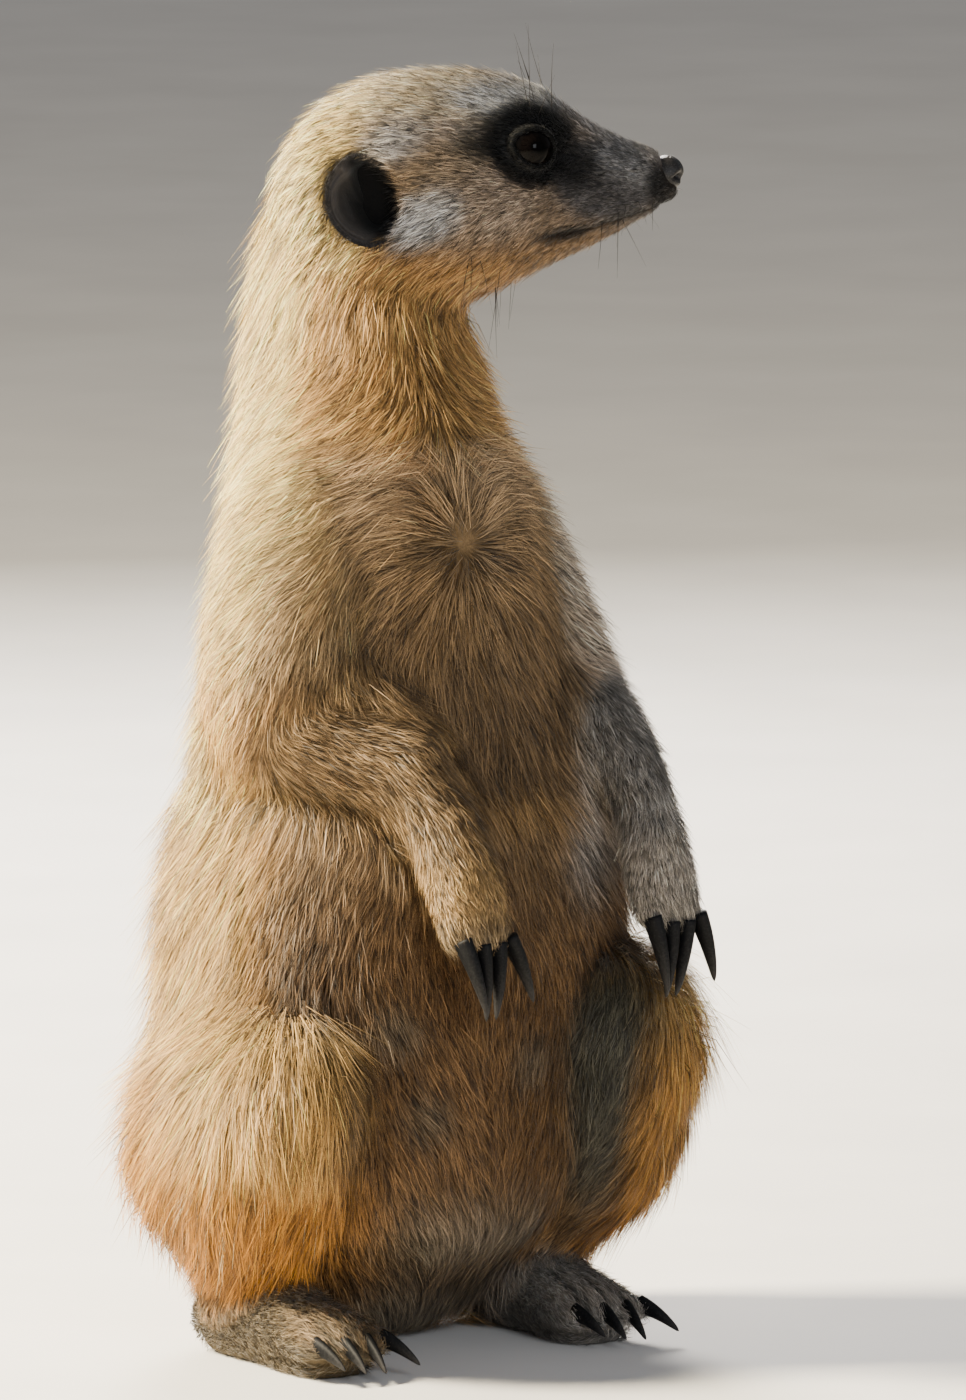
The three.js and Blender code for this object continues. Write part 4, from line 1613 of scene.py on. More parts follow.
FACE_PATCHES = (
    Patch(Shade.STONE, 20.0, 9.0, 9.0, 6.0, 10, 0.4, 0.6),  # grizzled side of the crown
    Patch(Shade.ASH, 32.0, 20.3, 12.0, 2.9, -4, 1.0, 0.45),  # brow
    Patch(Shade.ASH, 53.0, 12.9, 10.0, 2.0, -27, 0.6, 0.6),  # painted highlight along the bridge of the nose
    Patch(Shade.ROSE_GREY, 31.0, 3.0, 8.0, 6.5, 30, 0.8, 0.5),  # cheek
    Patch(Shade.ASH, 15.0, -1.5, 7.5, 4.5, 25, 0.85, 0.5),  # ahead of the ear's foot
    Patch(Shade.ASH, 9.0, 12.5, 6.0, 3.4, 20, 0.6, 0.6),  # above the ear
    Patch(Shade.CREAM, -1.5, -9.0, 4.0, 2.6, 30, 0.9, 0.5),  # tuft under the ear
    Patch(Shade.GRAPHITE, 51.5, 4.0, 12.0, 8.5, -8, 0.9, 0.3),  # muzzle
    Patch(Shade.ASH, 53.5, 8.0, 9.0, 3.2, -25, 0.22, 0.7),  # painted highlight on the top of the muzzle
    Patch(Shade.SLATE, 27.0, 13.5, 5.5, 4.6, 15, 0.8, 0.55),  # behind the eye
    Patch(Shade.SOOT, 36.8, 12.0, 9.9, 7.3, -22, 1.0, 0.22),  # eye patch
    Patch(Shade.SOOT, 44.5, 7.5, 5.5, 4.5, -30, 0.85, 0.4),  # its front
    Patch(Shade.SOOT, 63.0, 2.0, 3.8, 5.5, 10, 0.95, 0.4),  # round the nose and down to the lip
    Patch(Shade.SOOT, 42.5, -5.9, 6.0, 1.6, 6, 0.85, 0.5),  # corner of the mouth
)


@dataclass(frozen=True)
class Mark:
    """A soft oval on the body, in millimetres across and up as seen from ahead and to the right."""

    shade: Shade
    across: float
    up: float
    wide: float
    tall: float
    strength: float
    nodes: Names


NEAR_HAUNCH = ("thigh_right", "shank_right", "abdomen")
MARKS = (
    Mark(Shade.ASH, 43.9, 108.0, 6.0, 15.0, 0.4, ("abdomen", "thorax")),  # painted highlight on the far flank
    Mark(Shade.FAWN, 4.0, 128.0, 9.0, 8.0, 0.55, ("abdomen", "thorax")),  # crook of the near arm
    Mark(Shade.SLATE, 42.8, 60.1, 15.0, 22.0, 0.7, ("thigh_left", "shank_left")),  # inside of the far knee: its own grey, darkened with painted shade
    Mark(Shade.GOLD, 62.5, 43.7, 7.0, 22.0, 0.6, ("thigh_left", "shank_left")),  # its outer side
    Mark(Shade.UMBER, 21.3, 129.8, 15.0, 20.0, 0.3, ("thorax", "abdomen")),  # painted shade under the chest
    Mark(Shade.UMBER, -9.4, 76.5, 8.0, 10.0, 0.45, ("abdomen",)),  # painted shade in the hollow above the near knee
    Mark(Shade.UMBER, -14.0, 114.0, 11.0, 3.5, 0.5, ("abdomen",)),  # painted shadow under the near elbow
    Mark(Shade.ROSE_GREY, 18.2, 25.5, 9.0, 6.0, 0.15, ("abdomen",)),  # between the legs
    Mark(Shade.RUSSET, -1.0, 45.0, 8.0, 17.0, 0.6, NEAR_HAUNCH),  # painted shade on the near haunch's front
    Mark(Shade.UMBER, -8.0, 60.0, 8.0, 6.0, 0.45, NEAR_HAUNCH),  # painted shade on its top, ahead of the knee
    Mark(Shade.RUFOUS, -13.5, 25.0, 16.0, 12.0, 0.55, NEAR_HAUNCH),  # its lower edge
    Mark(Shade.CREAM, -15.6, 172.0, 9.0, 14.0, 0.35, ("thorax", "upper_arm", "neck")),  # near shoulder
)
BELLY_SPOTS: tuple[Place, ...] = ((-22.0, -39.0, 72.0), (-16.0, -42.0, 54.0), (12.0, -43.0, 64.0))


@dataclass
class Paint:
    """Colours at points, in linear light."""

    colours: Array

    def lay(self, shade: Shade, cover: Array) -> None:
        """Lays a shade over what is there."""
        self.colours = self.colours + (shade.linear - self.colours) * np.clip(cover, 0, 1)[:, None]


@dataclass
class Markings:
    """The coat's colours over the whole body."""

    body: Body
    bar_spacing: float = 15.0
    spot_reach: float = 2.0

    def paint(self) -> Array:
        """The colour at each point of the skin, in linear light.

        Returns:
            One colour to a point.
        """
        points = self.body.surface.points
        front = soft(-self.body.normals[:, 1], 0.05, 0.75)
        coat = Paint(np.tile(Shade.STRAW.linear, (len(points), 1)))
        self._paint_trunk(coat, front)
        self._paint_belly(coat)
        self._paint_arms(coat, front)
        self._paint_legs(coat)
        self._paint_tail(coat)
        self._paint_marks(coat)
        coat.colours += (self._head_colours() - coat.colours) * self.body.headness[:, None]
        mottle = 1 + 0.12 * noise(points, 9.0, 3) + 0.14 * noise(points, 3.0, 4)
        return np.clip(coat.colours * mottle[:, None], 0.002, 1)

    def _paint_trunk(self, coat: Paint, front: Array) -> None:
        """Colours the neck, the chest, the back and the flanks, with painted shade on the low chest and in
        the folds.

        Args:
            coat: the colours so far.
            front: how much each point faces ahead.
        """
        body = self.body
        points, height = body.surface.points, body.surface.points[:, 2]
        neck, thorax, abdomen = body.share("neck"), body.share("thorax"), body.share("abdomen")
        coat.lay(Shade.CREAM, 0.65 * (neck + thorax) * (1 - front))
        coat.lay(Shade.GOLD, (neck + thorax) * soft(height, 166, 204) * soft(front, 0.1, 0.6) * 0.6)
        coat.lay(Shade.FAWN, neck * soft(front, 0.3, 0.9) * 0.45)
        coat.lay(Shade.ROSE_GREY, thorax * front * soft(height, 150, 176) * soft(height, 200, 180) * 0.6)
        coat.lay(Shade.FAWN, thorax * front * soft(height, 192, 160) * 0.9)
        # painted shade on the low chest, under the arms
        coat.lay(Shade.UMBER, thorax * soft(front, 0.35, 0.9) * soft(height, 176, 130) * 0.55)
        coat.lay(Shade.GOLD, abdomen * soft(front, 0.0, 0.5) * 0.55)
        coat.lay(Shade.FAWN, abdomen * soft(front, 0.3, 1.0))
        at_whorl = lengths(points - np.array(body.whorl))
        coat.lay(Shade.SLATE, 0.8 * soft(at_whorl, 7, 1) * thorax)
        # painted shade in the folds
        coat.lay(Shade.UMBER, body.fold)
        back = soft(body.normals[:, 1], -0.25, 0.55)
        bars = 0.5 + 0.5 * np.sin(2 * math.pi * (height + 2.5 * noise(points, 16.0, 8)) / self.bar_spacing)
        bars = soft(bars, 0.45, 0.9) * back * soft(height, 30, 50) * soft(height, 150, 125)
        coat.lay(Shade.UMBER, 0.6 * bars * (abdomen + thorax))

    def _paint_belly(self, coat: Paint) -> None:
        """Colours the thin brown coat of the belly and its dark spots.

        Args:
            coat: the colours so far.
        """
        body = self.body
        points = body.surface.points
        coat.lay(Shade.UMBER, body.belly * soft(points[:, 2], 135, 110) * 0.4)
        coat.lay(Shade.RUSSET, body.belly * soft(points[:, 2], 112, 80) * 0.85)
        coat.lay(Shade.STONE, body.belly * soft(points[:, 2], 44, 24) * 0.7)
        for spot in BELLY_SPOTS:
            away = lengths(points - np.array(spot))
            coat.lay(Shade.STONE, 0.5 * soft(away, 9, 2))
            coat.lay(Shade.SOOT, 0.75 * soft(away, self.spot_reach, 0.8))

    def _paint_arms(self, coat: Paint, front: Array) -> None:
        """Colours the arms, paler outside and greyer below the elbow, the far arm greyed with painted shade.

        Args:
            coat: the colours so far.
            front: how much each point faces ahead.
        """
        body = self.body
        height = body.surface.points[:, 2]
        upper, fore = body.share("upper_arm"), body.share("forearm")
        coat.lay(Shade.CREAM, upper * soft(height, 135, 165) * 0.55)
        coat.lay(Shade.ROSE_GREY, upper * front * 0.45)
        coat.lay(Shade.FAWN, upper * soft(front, 0.4, 1.0) * 0.55)
        coat.lay(Shade.GOLD, upper * soft(height, 150, 136) * 0.4)
        coat.lay(Shade.FAWN, fore * 0.8)
        coat.lay(Shade.UMBER, fore * (0.15 + 0.35 * front))
        coat.lay(Shade.FAWN, body.share("hand") * 0.7)
        # painted shade: the far arm greyed, as in cool shade
        coat.lay(Shade.STONE, body.share("forearm_left", "hand_left") * 0.5)
        coat.lay(Shade.ASH, body.share("forearm_left", "upper_arm_left", "hand_left") * 0.42)
        coat.lay(Shade.STONE, body.share("hand") * soft(height, 98, 90) * 0.5)

    def _paint_legs(self, coat: Paint) -> None:
        """Colours the haunches cream to gold to rufous, their insides grey, and the feet, with painted
        highlights on the near knee and the toes' tops, painted shade inside the far leg and between the toes,
        and painted light on the far foot.

        Args:
            coat: the colours so far.
        """
        body = self.body
        points = body.surface.points
        haunch = body.share("thigh", "shank")
        height = points[:, 2] + 3 * noise(points, 14.0, 31)
        at_knee = lengths(points - np.array(KNEES[Side.RIGHT]))
        coat.lay(Shade.GOLD, haunch * soft(height, 80, 50) * 0.85)
        # painted highlight on top of the near knee
        coat.lay(Shade.CREAM, haunch * soft(at_knee, 22, 8) * 0.4)
        coat.lay(Shade.RUFOUS, haunch * soft(height, 57, 30))
        coat.lay(Shade.RUFOUS, body.share("abdomen") * soft(height, 36, 14) * (1 - body.belly) * 0.6)
        coat.lay(Shade.STONE, body.inner_leg * 0.7)
        # the far leg's inside: its own grey, darkened further with painted shade
        far = body.inner_leg * soft(points[:, 0], -5, 8)
        coat.lay(Shade.SLATE, far * soft(points[:, 2], 20, 40) * 0.85)
        foot = body.share("foot")
        coat.lay(Shade.UMBER, (foot + body.share("shank") * soft(points[:, 2], 22, 15)) * 0.5)
        coat.lay(Shade.STONE, foot * 0.7)
        coat.colours *= 1 - 0.2 * foot[:, None]
        # painted highlight on the tops of the toes
        coat.lay(Shade.FAWN, foot * soft(points[:, 1], -22, -38) * soft(body.normals[:, 2], 0, 0.8) * 0.5)
        # painted light: the far foot lightened
        coat.lay(Shade.ASH, foot * soft(points[:, 0], 0, 20) * 0.45)
        # painted shade in the grooves between the toes
        coat.lay(Shade.SLATE, body.toe_gap * 0.9)

    def _paint_tail(self, coat: Paint) -> None:
        """Colours the tail, black at its tip.

        Args:
            coat: the colours so far.
        """
        points, tail = self.body.surface.points, self.body.share("tail")
        coat.lay(Shade.GOLD, tail * 0.5)
        along = np.hypot(points[:, 0], points[:, 1] - 16)
        coat.lay(Shade.SOOT, tail * soft(along + 3 * noise(points, 4.0, 5), 118, 134) * 0.95)

    def _paint_marks(self, coat: Paint) -> None:
        """Lays the soft marks over the body, among them painted shade and a painted highlight, and paints
        shade into the folds.

        Args:
            coat: the colours so far.
        """
        body = self.body
        seen, faced = body.surface.points @ VIEW.T, soft(body.normals @ VIEW_BACK, 0.0, 0.4)
        for mark in MARKS:
            away = lengths((seen - (mark.across, mark.up)) / (mark.wide, mark.tall))
            coat.lay(mark.shade, mark.strength * soft(away, 1.5, 0.5) * faced * body.share(*mark.nodes))
        # painted shade: the folds darkened
        coat.colours *= 1 - 0.55 * body.fold[:, None]

    def _head_colours(self) -> Array:
        """The head's colours, from the crown to the jaw, with the face's patches over them.

        Returns:
            One colour to a point.
        """
        spots = self.body.head_places
        ahead, up = spots[:, 0], spots[:, 2]
        coat = Paint(np.tile(Shade.FAWN.linear, (len(spots), 1)))
        coat.lay(Shade.ROSE_GREY, 0.5 * soft(ahead, 5, 25))
        coat.lay(Shade.STRAW, soft(up, 14, 22) * 0.55)
        coat.lay(Shade.ROSE_GREY, soft(up, 14, 22) * 0.45)
        coat.lay(Shade.ASH, soft(up, 10, 19) * soft(ahead, -7, 8) * 0.5)
        coat.lay(Shade.CREAM, soft(up, 15, 21) * soft(ahead, 34, 20) * 0.3)
        coat.lay(Shade.CREAM, soft(ahead, 10, -8) * 0.85)
        coat.lay(Shade.GOLD, soft(up, -4, -12) * 0.7)
        coat.lay(Shade.UMBER, soft(up, -2, -9) * soft(ahead, 26, 44) * 0.6)
        for patch in FACE_PATCHES:
            coat.lay(patch.shade, patch.cover(spots))
        for side in Side:
            coat.lay(Shade.SOOT, soft(EAR.reach(spots, side), 1.15, 1.0))
            near_eye = lengths(self.body.surface.points - EYE.centre(side))
            coat.colours *= 1 - 0.95 * soft(near_eye, 10.0, 7.8)[:, None]
        above, along = self.body.from_mouth(spots)
        coat.lay(Shade.FAWN, 0.6 * soft(above, -1.5, -3.5) * soft(ahead, 30, 40) * soft(ahead, 64, 58))
        coat.lay(Shade.SOOT, hump(above / 0.7) * soft(along, -0.08, 0.1) * 0.85)
        return coat.colours


# ---- The coat ----


def bent(tree: GeometryTree, blades: Socket, along: Socket, across: Socket) -> Socket:
    """Runs each blade from its root to its tip over a bow, and gives it its breadth.

    Args:
        tree: the node group.
        blades: the blades, all at their roots.
        along: how far along its blade each point is.
        across: how far to its side.

    Returns:
        The blades, each in its place.
    """
    arch = tree.math("MULTIPLY", tree.math("MULTIPLY", along, tree.math("SUBTRACT", 1.0, along)), 4.0)
    half = tree.math("MULTIPLY", across, tree.source["Thickness"])
    reach, bow, side = (
        tree.scaled(tree.named(name, "FLOAT_VECTOR"), factor)
        for name, factor in (("reach", along), ("bow", arch), ("side", half))
    )
    offset = tree.vector("ADD", tree.vector("ADD", reach, bow), side)
    return tree.add("GeometryNodeSetPosition", in_Geometry=blades, in_Offset=offset).outputs[0]


def tuft_tree() -> GeometryTree:
    """Geometry nodes that set a blade of hair on each root, bend it to its lie and lay it on the map.

    Returns:
        The node group.
    """
    inputs = {"Blade": "Object", "Thickness": "Float", "Patch": "Float", "Finish": "Material"}
    tree = GeometryTree("tufts", inputs)
    _, blades = tree.instanced("Blade")
    along, across = tree.named("along", "FLOAT"), tree.named("across", "FLOAT")
    moved = bent(tree, blades, along, across)
    root, tip = tree.named("root_tint", "FLOAT_COLOR"), tree.named("tip_tint", "FLOAT_COLOR")
    tint = tree.add("ShaderNodeMix", data_type="RGBA", in_0=along, in_6=root, in_7=tip).outputs[2]
    painted = tree.stored(moved, "Tint", "FLOAT_COLOR", "POINT", tint)
    corner = tree.add("ShaderNodeCombineXYZ", in_0=tree.math("MULTIPLY", across, 0.5), in_1=along)
    spread = tree.scaled(corner.outputs[0], tree.source["Patch"])
    placed = tree.vector("ADD", tree.named("bake_place", "FLOAT_VECTOR"), spread)
    tree.finish(tree.stored(painted, "OFBake", "FLOAT2", "CORNER", placed))
    return tree


@dataclass
class Roots:
    """Where hairs start and how each one runs; every field has a row to a hair."""

    place: Array
    reach: Array
    bow: Array
    side: Array
    root_tint: Array
    tip_tint: Array
    bake_place: Array

    def picked(self, chosen: Array) -> "Roots":
        """Only the chosen hairs."""
        return Roots(*(getattr(self, name)[chosen] for name in Roots.__dataclass_fields__))


@dataclass
class Sown:
    """Roots on the skin: the face of each, its share of the face's corners, and its own luck."""

    corners: Array
    share: Array
    luck: Array

    def at(self, values: Array) -> Array:
        """Values of the skin's points carried to the roots.

        Args:
            values: a row to a point of the skin.

        Returns:
            A row to a root.
        """
        held = values if values.ndim > 1 else values[:, None]
        mixed = np.einsum("nk,nkc->nc", self.share, held[self.corners])
        return mixed if values.ndim > 1 else mixed[:, 0]


@dataclass
class CoatMaker:
    """Sows hair over the skin and makes it into pieces of mesh."""

    body: Body
    seed: int = 11
    thickness: float = 1.0
    patch: float = 0.003
    widest_at: float = 0.4
    clump_sizes: tuple[float, ...] = (0.8, 1.2, 1.8, 2.6)
    pull: float = 0.62
    most_hairs: int = 97000
    # dark roots: the hair's own banding, and painted shade deep in the coat
    root_light: float = 0.22
    tip_light: float = 1.15
    dark_tip: float = 0.3
    pale_tip: float = 1.65

    PIECES = {
        "coat_head": ("head", "lower_jaw"),
        "coat_neck": ("neck",),
        "coat_chest": ("thorax",),
        "coat_belly": ("abdomen",),
        "coat_arm_right": ("upper_arm_right", "forearm_right", "hand_right"),
        "coat_arm_left": ("upper_arm_left", "forearm_left", "hand_left"),
        "coat_leg_right": ("thigh_right", "shank_right", "foot_right"),
        "coat_leg_left": ("thigh_left", "shank_left", "foot_left"),
        "coat_tail": ("tail_base", "tail_middle", "tail_tip"),
    }

    def build(self, tree: GeometryTree) -> None:
        """Sows the hair and hands in every piece of coat.

        Args:
            tree: the node group that makes tufts.
        """
        self.random = np.random.default_rng(self.seed)
        finish = PaintedFinish("hair", 0.55, 0.3, grain_size=1.2, contrast=0.12, sheen=0.12).material()
        blade = self._blade()
        sown = self._sow()
        owner = self.body.weights[sown.corners[:, 0]].argmax(axis=1)
        roots = self._run(sown, owner)
        LOG.info("%d hairs", len(owner))
        for name, nodes in self.PIECES.items():
            members = self.body.members(nodes)
            chosen = np.nonzero(np.isin(owner, members))[0]
            parts = max(1, math.ceil(len(chosen) / self.most_hairs))
            across = roots.bake_place[chosen, 0]
            limits = np.quantile(across, np.linspace(0, 1, parts + 1)[1:-1])
            group = np.searchsorted(limits, across)
            for part in range(parts):
                label = name if parts == 1 else f"{name}_{part + 1}"
                piece = self._piece(tree, blade, finish, label, roots.picked(chosen[group == part]))
                hand_in(piece)
        discard(blade)

    def _blade(self) -> Piece:
        """One hair of two faces, which the node tree spreads out along its length.

        Returns:
            The blade.
        """
        mesh = bpy.data.meshes.new("blade")
        mesh.from_pydata([(0, 0, 0)] * 4, [], [(0, 2, 1), (1, 2, 3)])
        mesh.update()
        middle = self.widest_at
        set_attribute(mesh, "along", "FLOAT", np.array((0, middle, middle, 1.0)))
        set_attribute(mesh, "across", "FLOAT", np.array((0, -1.0, 1.0, 0)))
        mesh.polygons.foreach_set("use_smooth", np.ones(2, bool))
        return add_object("blade", mesh)

    def _sow(self) -> Sown:
        """Spreads the roots over the skin by its density.

        Returns:
            The roots.
        """
        surface, random = self.body.surface, self.random
        density = self.body.density[surface.faces].mean(axis=1)
        count = random.poisson(surface.areas() * np.maximum(density, 0))
        face = np.repeat(np.arange(len(count)), count)
        share = random.random((len(face), 2))
        over = share.sum(axis=1) > 1
        share[over] = 1 - share[over]
        share = np.concatenate([1 - share.sum(axis=1, keepdims=True), share], axis=1)
        return Sown(surface.faces[face], share, random.random((len(face), 8)))

    def _run(self, sown: Sown, owner: Array) -> Roots:
        """Works out how each hair runs and what colours it has.

        Args:
            sown: the roots.
            owner: the number of each root's region.

        Returns:
            The hairs.
        """
        body, luck = self.body, sown.luck
        place, normal = sown.at(body.surface.points), unit(sown.at(body.normals))
        centre, fate = self._clumps(place, sown.at(body.clump))
        loose = luck[:, 4] ** 8
        length = sown.at(body.length) * (0.70 + 0.4 * luck[:, 0] + 0.16 * fate[:, 0] + 0.25 * loose)
        lift = sown.at(body.lift) * (0.35 + 0.9 * luck[:, 1] + 0.5 * fate[:, 1] + 0.8 * loose)
        lift = np.radians(lift)[:, None]
        stray = np.radians(18 * (fate[:, 2] - 0.5) + 30 * (luck[:, 2] - 0.5))[:, None]
        half_way, whole_way = (
            way * np.cos(stray) + np.cross(normal, way) * np.sin(stray)
            for way in (unit(sown.at(run)) for run in body.runs)
        )
        to_centre = centre - place
        pull = to_centre - normal * dot(to_centre, normal) - whole_way * dot(to_centre, whole_way)
        long = length[:, None]
        tip = long * (whole_way * np.cos(lift) + normal * np.sin(lift)) + self.pull * pull
        steep = np.minimum(1.6 * lift, 1.2)
        middle = 0.5 * long * (half_way * np.cos(steep) + normal * np.sin(steep)) + 0.3 * self.pull * pull
        low = 0.25 - place[:, 2]
        tip[:, 2], middle[:, 2] = np.maximum(tip[:, 2], low), np.maximum(middle[:, 2], low)
        way = unit(tip)
        twist = np.radians(70 * (luck[:, 3:4] - 0.5))
        side = unit(np.cross(way, normal))
        side = side * np.cos(twist) + np.cross(way, side) * np.sin(twist)
        half = sown.at(body.width) / 2 * (0.8 + 0.4 * luck[:, 4])
        root_tint, tip_tint = self._tints(sown, fate)
        unwrapped = self._unwrapped(place, owner)
        bow = middle - tip / 2
        return Roots(place, tip, bow, side * half[:, None], root_tint, tip_tint, unwrapped)

    def _tints(self, sown: Sown, fate: Array) -> tuple[Array, Array]:
        """The colours of each hair's root and tip, some of them dark-tipped and some pale; the dark roots are
        the hair's own banding and painted shade deep in the coat.

        Args:
            sown: the roots.
            fate: each lock's random numbers.

        Returns:
            The two colours of each hair.
        """
        tint, head = sown.at(self.body.tint), sown.at(self.body.headness)
        bright = 0.97 + (1.0 + 0.1 * head) * (fate[:, 3] - 0.5) + 0.95 * (sown.luck[:, 5] - 0.5)
        dark = sown.luck[:, 6] < 0.21 + 0.12 * head
        pale = sown.luck[:, 7] < 0.25 + 0.10 * head
        root = tint * (self.root_light * bright)[:, None]
        light = self.tip_light * bright * np.where(dark, self.dark_tip, 1.0)
        tip = tint * (light * np.where(pale, self.pale_tip, 1.0))[:, None]
        return with_alpha(np.clip(root, 0, 1)), with_alpha(np.clip(tip, 0, 1))

    def _clumps(self, places: Array, sizes: Array) -> tuple[Array, Array]:
        """The middle of the lock that each root belongs to, and the lock's own random numbers.

        Args:
            places: where the roots are.
            sizes: how wide the locks are there.

        Returns:
            The middles, and four numbers to a root.
        """
        levels = np.abs(np.log(sizes[:, None] / np.array(self.clump_sizes))).argmin(axis=1)
        centres = np.zeros_like(places)
        fate = np.zeros((len(places), 4))
        for level, size in enumerate(self.clump_sizes):
            chosen = np.nonzero(levels == level)[0]
            scaled = places[chosen] / size
            base = np.floor(scaled).astype(np.int64)
            nearest = np.full(len(chosen), np.inf)
            for step in itertools.product((-1, 0, 1), repeat=3):
                cell = base + np.array(step)
                jitter = np.stack([steady_random(cell, self.seed + k) for k in range(3)], axis=1)
                distance = lengths(cell + jitter - scaled)
                closer = distance < nearest
                nearest[closer] = distance[closer]
                centres[chosen[closer]] = (cell + jitter)[closer] * size
                fate[chosen[closer]] = np.stack(
                    [steady_random(cell[closer], self.seed + 10 + k) for k in range(4)], axis=1
                )
        return centres, fate

    def _unwrapped(self, places: Array, owner: Array) -> Array:
        """Each root's place on the unwrapped skin, with a band of the map for each region.

        Args:
            places: where the roots are.
            owner: the number of each root's region.

        Returns:
            Places on the map, from 0 to 1.
        """
        laid = np.zeros((len(places), 3))
        for nodes in self.PIECES.values():
            members = self.body.members(nodes)
            for band, member in enumerate(members):
                chosen = owner == member
                flat = self.body.regions[member].line.unwrap(places[chosen])
                laid[chosen, 0] = 0.01 + 0.975 * flat[:, 0]
                laid[chosen, 1] = 0.01 + 0.975 * (band + 0.98 * flat[:, 1]) / len(members)
        return laid

    def _piece(self, tree: GeometryTree, blade: Piece, finish: Material, name: str, roots: Roots) -> Piece:
        """Makes one piece of coat from its roots.

        Args:
            tree: the node group.
            blade: one hair.
            finish: the coat's material.
            name: the piece's name.
            roots: its hairs.

        Returns:
            The piece.
        """
        mesh = Surface(roots.place, np.zeros((0, 3), int)).mesh(name + "_roots")
        for key in ("reach", "bow", "side"):
            set_attribute(mesh, key, "FLOAT_VECTOR", getattr(roots, key) * MM)
        set_attribute(mesh, "bake_place", "FLOAT_VECTOR", roots.bake_place)
        set_attribute(mesh, "root_tint", "FLOAT_COLOR", roots.root_tint)
        set_attribute(mesh, "tip_tint", "FLOAT_COLOR", roots.tip_tint)
        values = {"Blade": blade, "Thickness": self.thickness, "Patch": self.patch, "Finish": finish}
        piece = tree.run(mesh, name, values)
        drop_attributes(piece, *Roots.__dataclass_fields__, "along", "across")
        return piece


# ---- Eyes, nose and ears ----


@dataclass
class Eyes:
    """Both eyeballs, with a nearly black iris, a wide level pupil and a clear bulging front."""

    iris: float = 50.0
    pupil_long: float = 21.0
    pupil_tall: float = 13.0
    bulge: float = 0.35
    brown: Place = (0.035, 0.025, 0.022)
    black: Place = (0.035, 0.03, 0.03)
    levels: int = 6

    def build(self) -> None:
        """Makes and hands in both eyes."""
        finish = PaintedFinish("wet_eye", 0.07, 0.03, 0.25, contrast=0.3, wetness=0.05).material()
        for side in Side:
            shape = ball(self.levels)
            axes = EYE.axes(side)
            long, tall, out = shape.points @ axes[0], shape.points @ axes[1], shape.points @ axes[2]
            tilt = np.degrees(np.arccos(np.clip(out, -1, 1)))
            radius = EYE.radius + self.bulge * soft(tilt, 48, 8)
            colours = self._colours(tilt, long, tall)
            made = Surface(shape.points * radius[:, None] + EYE.centre(side), shape.faces)
            name = f"eyeball_{side.word}"
            mesh = made.mesh(name)
            set_tint(mesh, colours)
            hand_in(add_object(name, mesh, finish), (f"eye_{side.word}",))

    def _colours(self, tilt: Array, long: Array, tall: Array) -> Array:
        """The colour of the ball, ringed outwards from the pupil.

        Args:
            tilt: degrees from the gaze.
            long: how far each point lies ahead of it.
            tall: how far above it.

        Returns:
            One colour to a point.
        """
        turn = np.arctan2(tall, long)
        fibres = 0.75 + 0.25 * np.sin(31 * turn) * np.sin(47 * turn + 1)
        brown = to_linear(np.array(self.brown)) * fibres[:, None]
        pupil = np.hypot(np.degrees(long) / self.pupil_long, np.degrees(tall) / self.pupil_tall)
        inside = soft(pupil, 1.12, 0.9)[:, None]
        rim = soft(tilt, self.iris - 8, self.iris)[:, None]
        dark = to_linear(np.array(self.black))
        colours = brown * (1 - rim) + dark * rim
        return colours * (1 - inside) + dark * 0.4 * inside


@dataclass
class Nose:
    """The nose's bare pad, with comma-shaped nostrils and a groove between them."""

    ahead: float = 62.9
    up: float = 4.9
    radii: Place = (3.5, 3.8, 3.6)
    nostril: Place = (0.80, 0.56, -0.16)
    slit: Place = (0.62, 0.82, -0.22)
    wing: Place = (0.66, 0.68, 0.22)
    nostril_depth: float = 1.9
    slit_depth: float = 0.9
    groove_depth: float = 0.5
    levels: int = 6

    def build(self) -> None:
        """Makes and hands in the nose."""
        shape = ball(self.levels)
        way = shape.points
        level = np.stack((way[:, 0], np.abs(way[:, 1]), way[:, 2]), axis=1)
        from_hole = lengths(level - unit(np.array(self.nostril)))
        from_slit = (level - unit(np.array(self.slit))) / np.array((0.24, 0.3, 0.13))
        from_wing = lengths(level - unit(np.array(self.wing)))
        rise = -self.nostril_depth * hump(from_hole / 0.27)
        rise -= self.slit_depth * np.exp(-np.sum(from_slit**2, axis=1))
        rise += 0.28 * hump(from_wing / 0.3)
        ahead_and_below = soft(way[:, 0], 0.3, 0.6) * soft(way[:, 2], 0.35, -0.1)
        rise -= self.groove_depth * hump(way[:, 1] / 0.075) * ahead_and_below
        rise -= 0.5 * soft(way[:, 0], 0.75, 1.0) * soft(way[:, 2], 0.1, -0.5)
        points = way * (np.array(self.radii) + rise[:, None]) + (self.ahead, 0, self.up)
        mesh = Surface(HEAD.place(points), shape.faces).mesh("nose_pad")
        finish = LeatherFinish("nose_leather", 0.48, 0.3).material()
        hand_in(add_object("nose_pad", mesh, finish), ("nose",))


def capped(grid: Array) -> Surface:
    """A closed surface over a grid of rings, with a point in the middle of each end.

    Args:
        grid: a ring of points to a row.

    Returns:
        The surface.
    """
    made = grid_surface(grid)
    rings, turns = grid.shape[:2]
    first = np.arange(turns)
    last = (rings - 1) * turns + first
    poles = np.array([made.points[first].mean(axis=0), made.points[last].mean(axis=0)])
    count = len(made.points)
    caps = [
        np.stack((np.full(turns, count), np.roll(first, -1), first), 1),
        np.stack((np.full(turns, count + 1), last, np.roll(last, -1)), 1),
    ]
    return Surface(np.concatenate([made.points, poles]), np.concatenate([made.faces, *caps]))


